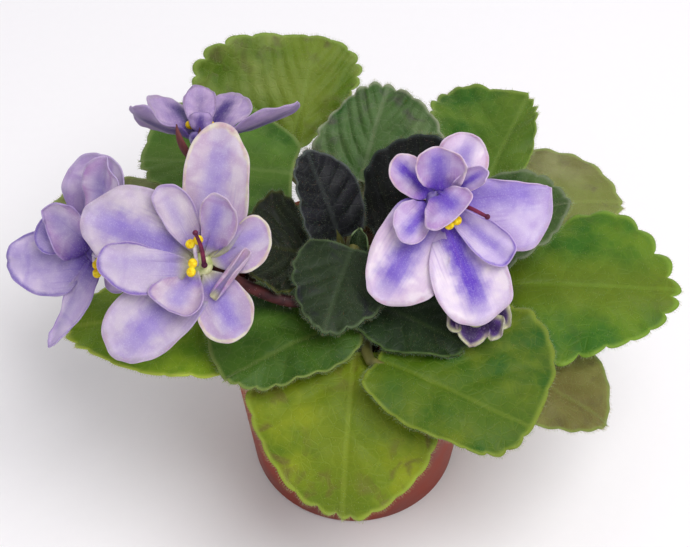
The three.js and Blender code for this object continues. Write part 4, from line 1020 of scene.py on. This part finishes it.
stemHair = {"radius": 0.04, "length": (0.4, 0.9), "perMillimetre": 5, "spread": 0.4}


def smoothSkin(blade, along, across, out, angle):
    # a relief for blades that have none
    return 0


def addCalyx(bm, bloom):
    # a small rounded cup behind a bloom, with its sepals
    form = {**calyxForm, **bloom.get("sepals", {})}
    part = bmesh.new()
    bmesh.ops.create_cone(part, cap_ends=True, segments=20, radius1=form["footRadius"],
                          radius2=form["topRadius"], depth=form["height"],
                          matrix=Matrix.Translation((0, 0, 0.5 - form["behind"])))
    rims = [edge for edge in part.edges if edge.is_manifold and edge.calc_face_angle() > 0.6]
    bmesh.ops.bevel(part, geom=rims, offset=form["rounding"], segments=3, profile=0.5, affect="EDGES",
                    material=-1)
    for i, angle in enumerate(form["turns"]):
        blade = {**petalForm, "segments": 12, "length": form["lengths"][i], "heading": angle, "seed": i,
                 "pitch": form["pitch"], "cup": 20, "wave": 0, "left": form["sepalSide"],
                 "right": form["sepalSide"], "start": polar(angle, form["circle"], 0.9 - form["behind"])}
        addBlade(part, blade, smoothSkin, petalVeins, 0)
    bmesh.ops.transform(part, matrix=bloomFrame(bloom), verts=part.verts)
    mergeInto(bm, part)


def makeStems(node, branches, seed):
    bm = bmesh.new()
    draw = random.Random(seed)
    hairs = []
    for stem in branches:
        carried = {**blooms, "bud": bud}.get(stem.get("bloom"))
        end = bloomFrame(carried) @ Vector((0, 0, -calyxForm["behind"])) if carried else Vector(stem["end"])
        points = [Vector(point) for point in (stem["start"], *stem["through"])] + [end]
        first, last = stem["radii"]
        frames = addTube(bm, points, lambda share: first + (last - first) * share, 14, 24, 0)
        if carried:
            addCalyx(bm, carried)
        length = sum((b - a).length for a, b in zip(points, points[1:]))
        for i in range(int(length * stemHair["perMillimetre"])):
            step, turn = draw.randrange(len(frames)), draw.uniform(0, 2 * math.pi)
            place, right, up = frames[step]
            away = right * math.cos(turn) + up * math.sin(turn)
            foot = place + away * (first + (last - first) * step / len(frames)) * 0.9
            ahead = (away + someDirection(draw) * stemHair["spread"]).normalized()
            hairs.append((foot, ahead * draw.uniform(*stemHair["length"])))
    addHairs(bm, hairs, stemHair["radius"], 1)
    finishPiece(bm, node, [stemSkin, stemDown])


stemSkin = juicyTissue("downy flower stem", {"dark": "#3a1a1e", "light": "#6a3434", "mottle": 4, "grain": 0.5,
                                             "roughness": 0.6})
stemDown = paleHair("flower stem hair", "#b08a86", "#d3bcb6")
for seed, (where, branches) in enumerate(stems.items()):
    makeStems(where + "_flower_stems", branches, 100 + seed)
print("stems made")


# pot, soil and crown
potForm = {
    "height": 60, "footRadius": 26, "topRadius": 31.6, "wall": 1.6, "floor": 2, "collarHeight": 11,
    "collarStep": 1.3, "edge": 0.7, "rounding": 0.3, "holeRadius": 2.6, "holeCircle": 17, "holes": 4,
    "segments": 128,
}
potLook = {"dark": "#75291a", "light": "#8f341f", "dust": "#8c4a38",
           "cloud": 14, "speck": 1.2, "grain": 0.5, "footShade": 20}  # mm; the last is how high the painted shade at the pot's foot reaches
soilForm = {"edgeHeight": 52.5, "middleHeight": 56, "gap": 0.35, "lump": 0.7, "crumb": 0.7, "crumbSize": 1.6,
            "rings": 22, "segments": 96}
soilLook = {"dark": "#1f1510", "light": "#4a3626", "crumb": 1.6, "fibre": 0.7}  # mm
crownForm = {
    "radius": 5.4, "shoulder": 4.6, "footHeight": 44, "topHeight": 70, "segments": 40,
    "ring": 0.12, "ringTurn": 2.4,  # leaf scars: how far they stand out, radians from each mm to the next
    "youngest": [
        dict(start=(75, 1.6, 69), heading=78, pitch=(76, 66), length=9, half=2.4, cup=34),
        dict(start=(340, 1.6, 69), heading=340, pitch=(74, 64), length=7.5, half=2.6, cup=34),
        dict(start=(195, 1.6, 69), heading=195, pitch=(76, 70), length=6.5, half=2.4, cup=36),
    ],
    "blade": {"segments": 24, "wave": 0.3, "sweep": 0, "teeth": 6, "tooth": 0.035, "lobe": 0, "quilt": 0.2},
    "hairs": 200, "hair": (0.4, 0.9), "hairSpread": 0.6,  # on each blade
    "look": {"skin": "#2f4a26", "light": "#4a6a38", "heart": "#22361a", "rim": "#8aa070", "blotch": "#24301e",
             "blotches": 0.4, "seed": 3},
}


def potRadius(height):
    # of the tapered wall, outside
    return potForm["footRadius"] + (potForm["topRadius"] - potForm["footRadius"]) * height / potForm["height"]


def makePot():
    form = potForm
    height, wall, floor, step, rim = [form[key] for key in ("height", "wall", "floor", "collarStep", "edge")]
    collarFoot = height - form["collarHeight"]
    bm = bmesh.new()
    spinProfile(bm, [
        (0, 0), (form["footRadius"] - rim, 0), *[(potRadius(z), z) for z in (rim, 18, 34, collarFoot - step)],
        (potRadius(collarFoot) + step, collarFoot), (potRadius(height) + step, height - rim),
        (potRadius(height) + step - rim, height), *[(potRadius(z) - wall, z) for z in (height, 30, floor)],
        (0, floor)], form["segments"])
    sharp = [edge for edge in bm.edges if edge.is_manifold and edge.calc_face_angle() > 0.35
             and abs(edge.verts[0].co.z - edge.verts[1].co.z) < 0.01 and edge.verts[0].co.xy.length > 10]
    bmesh.ops.bevel(bm, geom=sharp, offset=form["rounding"], segments=3, profile=0.5, affect="EDGES",
                    material=-1)
    piece = finishPiece(bm, "pot", [mouldedPot(potLook)])

    # the drain holes are cut by four cylinders
    cutter = bmesh.new()
    for i in range(form["holes"]):
        place = polar(360 * (i + 0.5) / form["holes"], form["holeCircle"], 0)
        bmesh.ops.create_cone(cutter, cap_ends=True, segments=32, radius1=form["holeRadius"],
                              radius2=form["holeRadius"], depth=floor * 4, matrix=Matrix.Translation(place))
    holes = placeMesh(cutter, "holes")
    boolean = piece.modifiers.new("holes", "BOOLEAN")
    boolean.object = holes
    boolean.solver = "EXACT"
    bpy.context.view_layer.update()
    shaped = bpy.data.meshes.new_from_object(piece.evaluated_get(bpy.context.evaluated_depsgraph_get()))
    piece.modifiers.clear()
    piece.data = shaped
    bpy.data.objects.remove(holes)


def soilRadius(height):
    # the soil stays clear of the pot's wall
    return potRadius(height) - potForm["wall"] - soilForm["gap"]


def makeSoil():
    form = soilForm
    foot, top, rise = potForm["floor"] + form["gap"], form["edgeHeight"], form["middleHeight"]
    hole, holeFoot = crownForm["radius"] + form["gap"], crownForm["footHeight"] - form["gap"]
    reach = soilRadius(top)
    surface = []
    for i in range(form["rings"] + 1):
        radius = reach + (hole - reach) * i / form["rings"]
        surface.append((radius, rise + (top - rise) * (radius / reach) ** 2))
    bm = bmesh.new()
    spinProfile(bm, [(0, foot), (soilRadius(foot), foot), (soilRadius(25), 25), *surface, (hole, holeFoot),
                     (0, holeFoot)], form["segments"])
    for vert in bm.verts:
        x, y, z = vert.co
        if z > top - 1 and math.hypot(x, y) < reach - 0.2:
            # lumps about 8 mm apart, pushed aside unevenly, with crumbs on them
            lumps = form["lump"] * math.sin(0.71 * x + 1.3 * math.sin(0.5 * y)) * math.cos(0.83 * y)
            crumbs = form["crumb"] * noise.noise(Vector((x / form["crumbSize"], y / form["crumbSize"], 0)))
            vert.co.z += lumps + crumbs
    finishPiece(bm, "soil", [moistPeat(soilLook)])


def makeCrown():
    # the short stem with rings of old leaf scars, and the youngest leaves on its top
    form = crownForm
    radius, shoulder, foot, top = form["radius"], form["shoulder"], form["footHeight"], form["topHeight"]
    bm = bmesh.new()
    spinProfile(bm, [
        (0, foot), (radius, foot), *[(radius + form["ring"] * math.sin(z * form["ringTurn"]), z)
                                 for z in range(46, 65, 2)],
        (radius, top - 5), (shoulder, top - 1.5), (shoulder * 0.5, top), (0, top)], form["segments"])
    for face in bm.faces:
        face.material_index = 1
    draw = random.Random(60)
    hairs = []
    for leaf in form["youngest"]:
        side = (leaf["half"], 0.4, 0.6)
        blade = {**leafForm, **form["blade"], **leaf, "start": polar(*leaf["start"]),
                 "left": side, "right": side, "seed": leaf["heading"]}
        upper = addBlade(bm, blade, leafRelief, leafVeins, 0)
        bm.normal_update()
        for vert in draw.sample(upper, form["hairs"]):
            away = (vert.normal + someDirection(draw) * form["hairSpread"]).normalized()
            hairs.append((vert.co.copy(), away * draw.uniform(*form["hair"])))
    addHairs(bm, hairs, leafForm["hairRadius"], 2)
    skin = velvetLeaf("velvet leaf youngest", form["look"])
    finishPiece(bm, "crown", [skin, leafStalkSkin, leafHairs["young_leaf"]])


makePot()
makeSoil()
makeCrown()
print("pot, soil and crown made")


# floor and light
studio = {
    "floor": 4000, "paper": "#f6f4f5", "fibre": "#f8f6f7", "fibreSize": 3,  # mm
    # a softbox, up on the right
    "key": {"place": (260, -220, 800), "aim": (0, 0, 60), "size": 500, "watts": 4.6},
    "sky": "#fbfaff", "skyStrength": 0.66,
}


def makeStudio():
    bm = bmesh.new()
    bmesh.ops.create_grid(bm, x_segments=1, y_segments=1, size=studio["floor"] / 2)
    floor = placeMesh(bm, "floor")
    material, tree = startMaterial("matt paper", {"Roughness": 0.9})
    fibre = addNode(tree, "TexNoise", {"Vector": addNode(tree, "TexCoord").outputs["Object"],
                                       "Scale": 1000 / studio["fibreSize"]})
    tint = layColours(tree, studio["paper"], [(fibre.outputs[0], studio["fibre"])])
    tree.links.new(tint, tree.nodes["Principled BSDF"].inputs["Base Color"])
    floor.data.materials.append(material)

    key = studio["key"]
    light = bpy.data.objects.new("softbox", bpy.data.lights.new("softbox", "AREA"))
    bpy.context.scene.collection.objects.link(light)
    light.data.size = key["size"] / 1000
    light.data.energy = key["watts"]
    light.location = Vector(key["place"]) / 1000
    light.rotation_euler = (Vector(key["aim"]) / 1000 - light.location).to_track_quat("-Z", "Y").to_euler()

    world = bpy.data.worlds.new("studio")
    world.use_nodes = True
    world.node_tree.nodes["Background"].inputs[0].default_value = linearColour(studio["sky"])
    world.node_tree.nodes["Background"].inputs[1].default_value = studio["skyStrength"]
    bpy.context.scene.world = world
    bpy.context.scene.view_settings.view_transform = "Standard"


makeStudio()
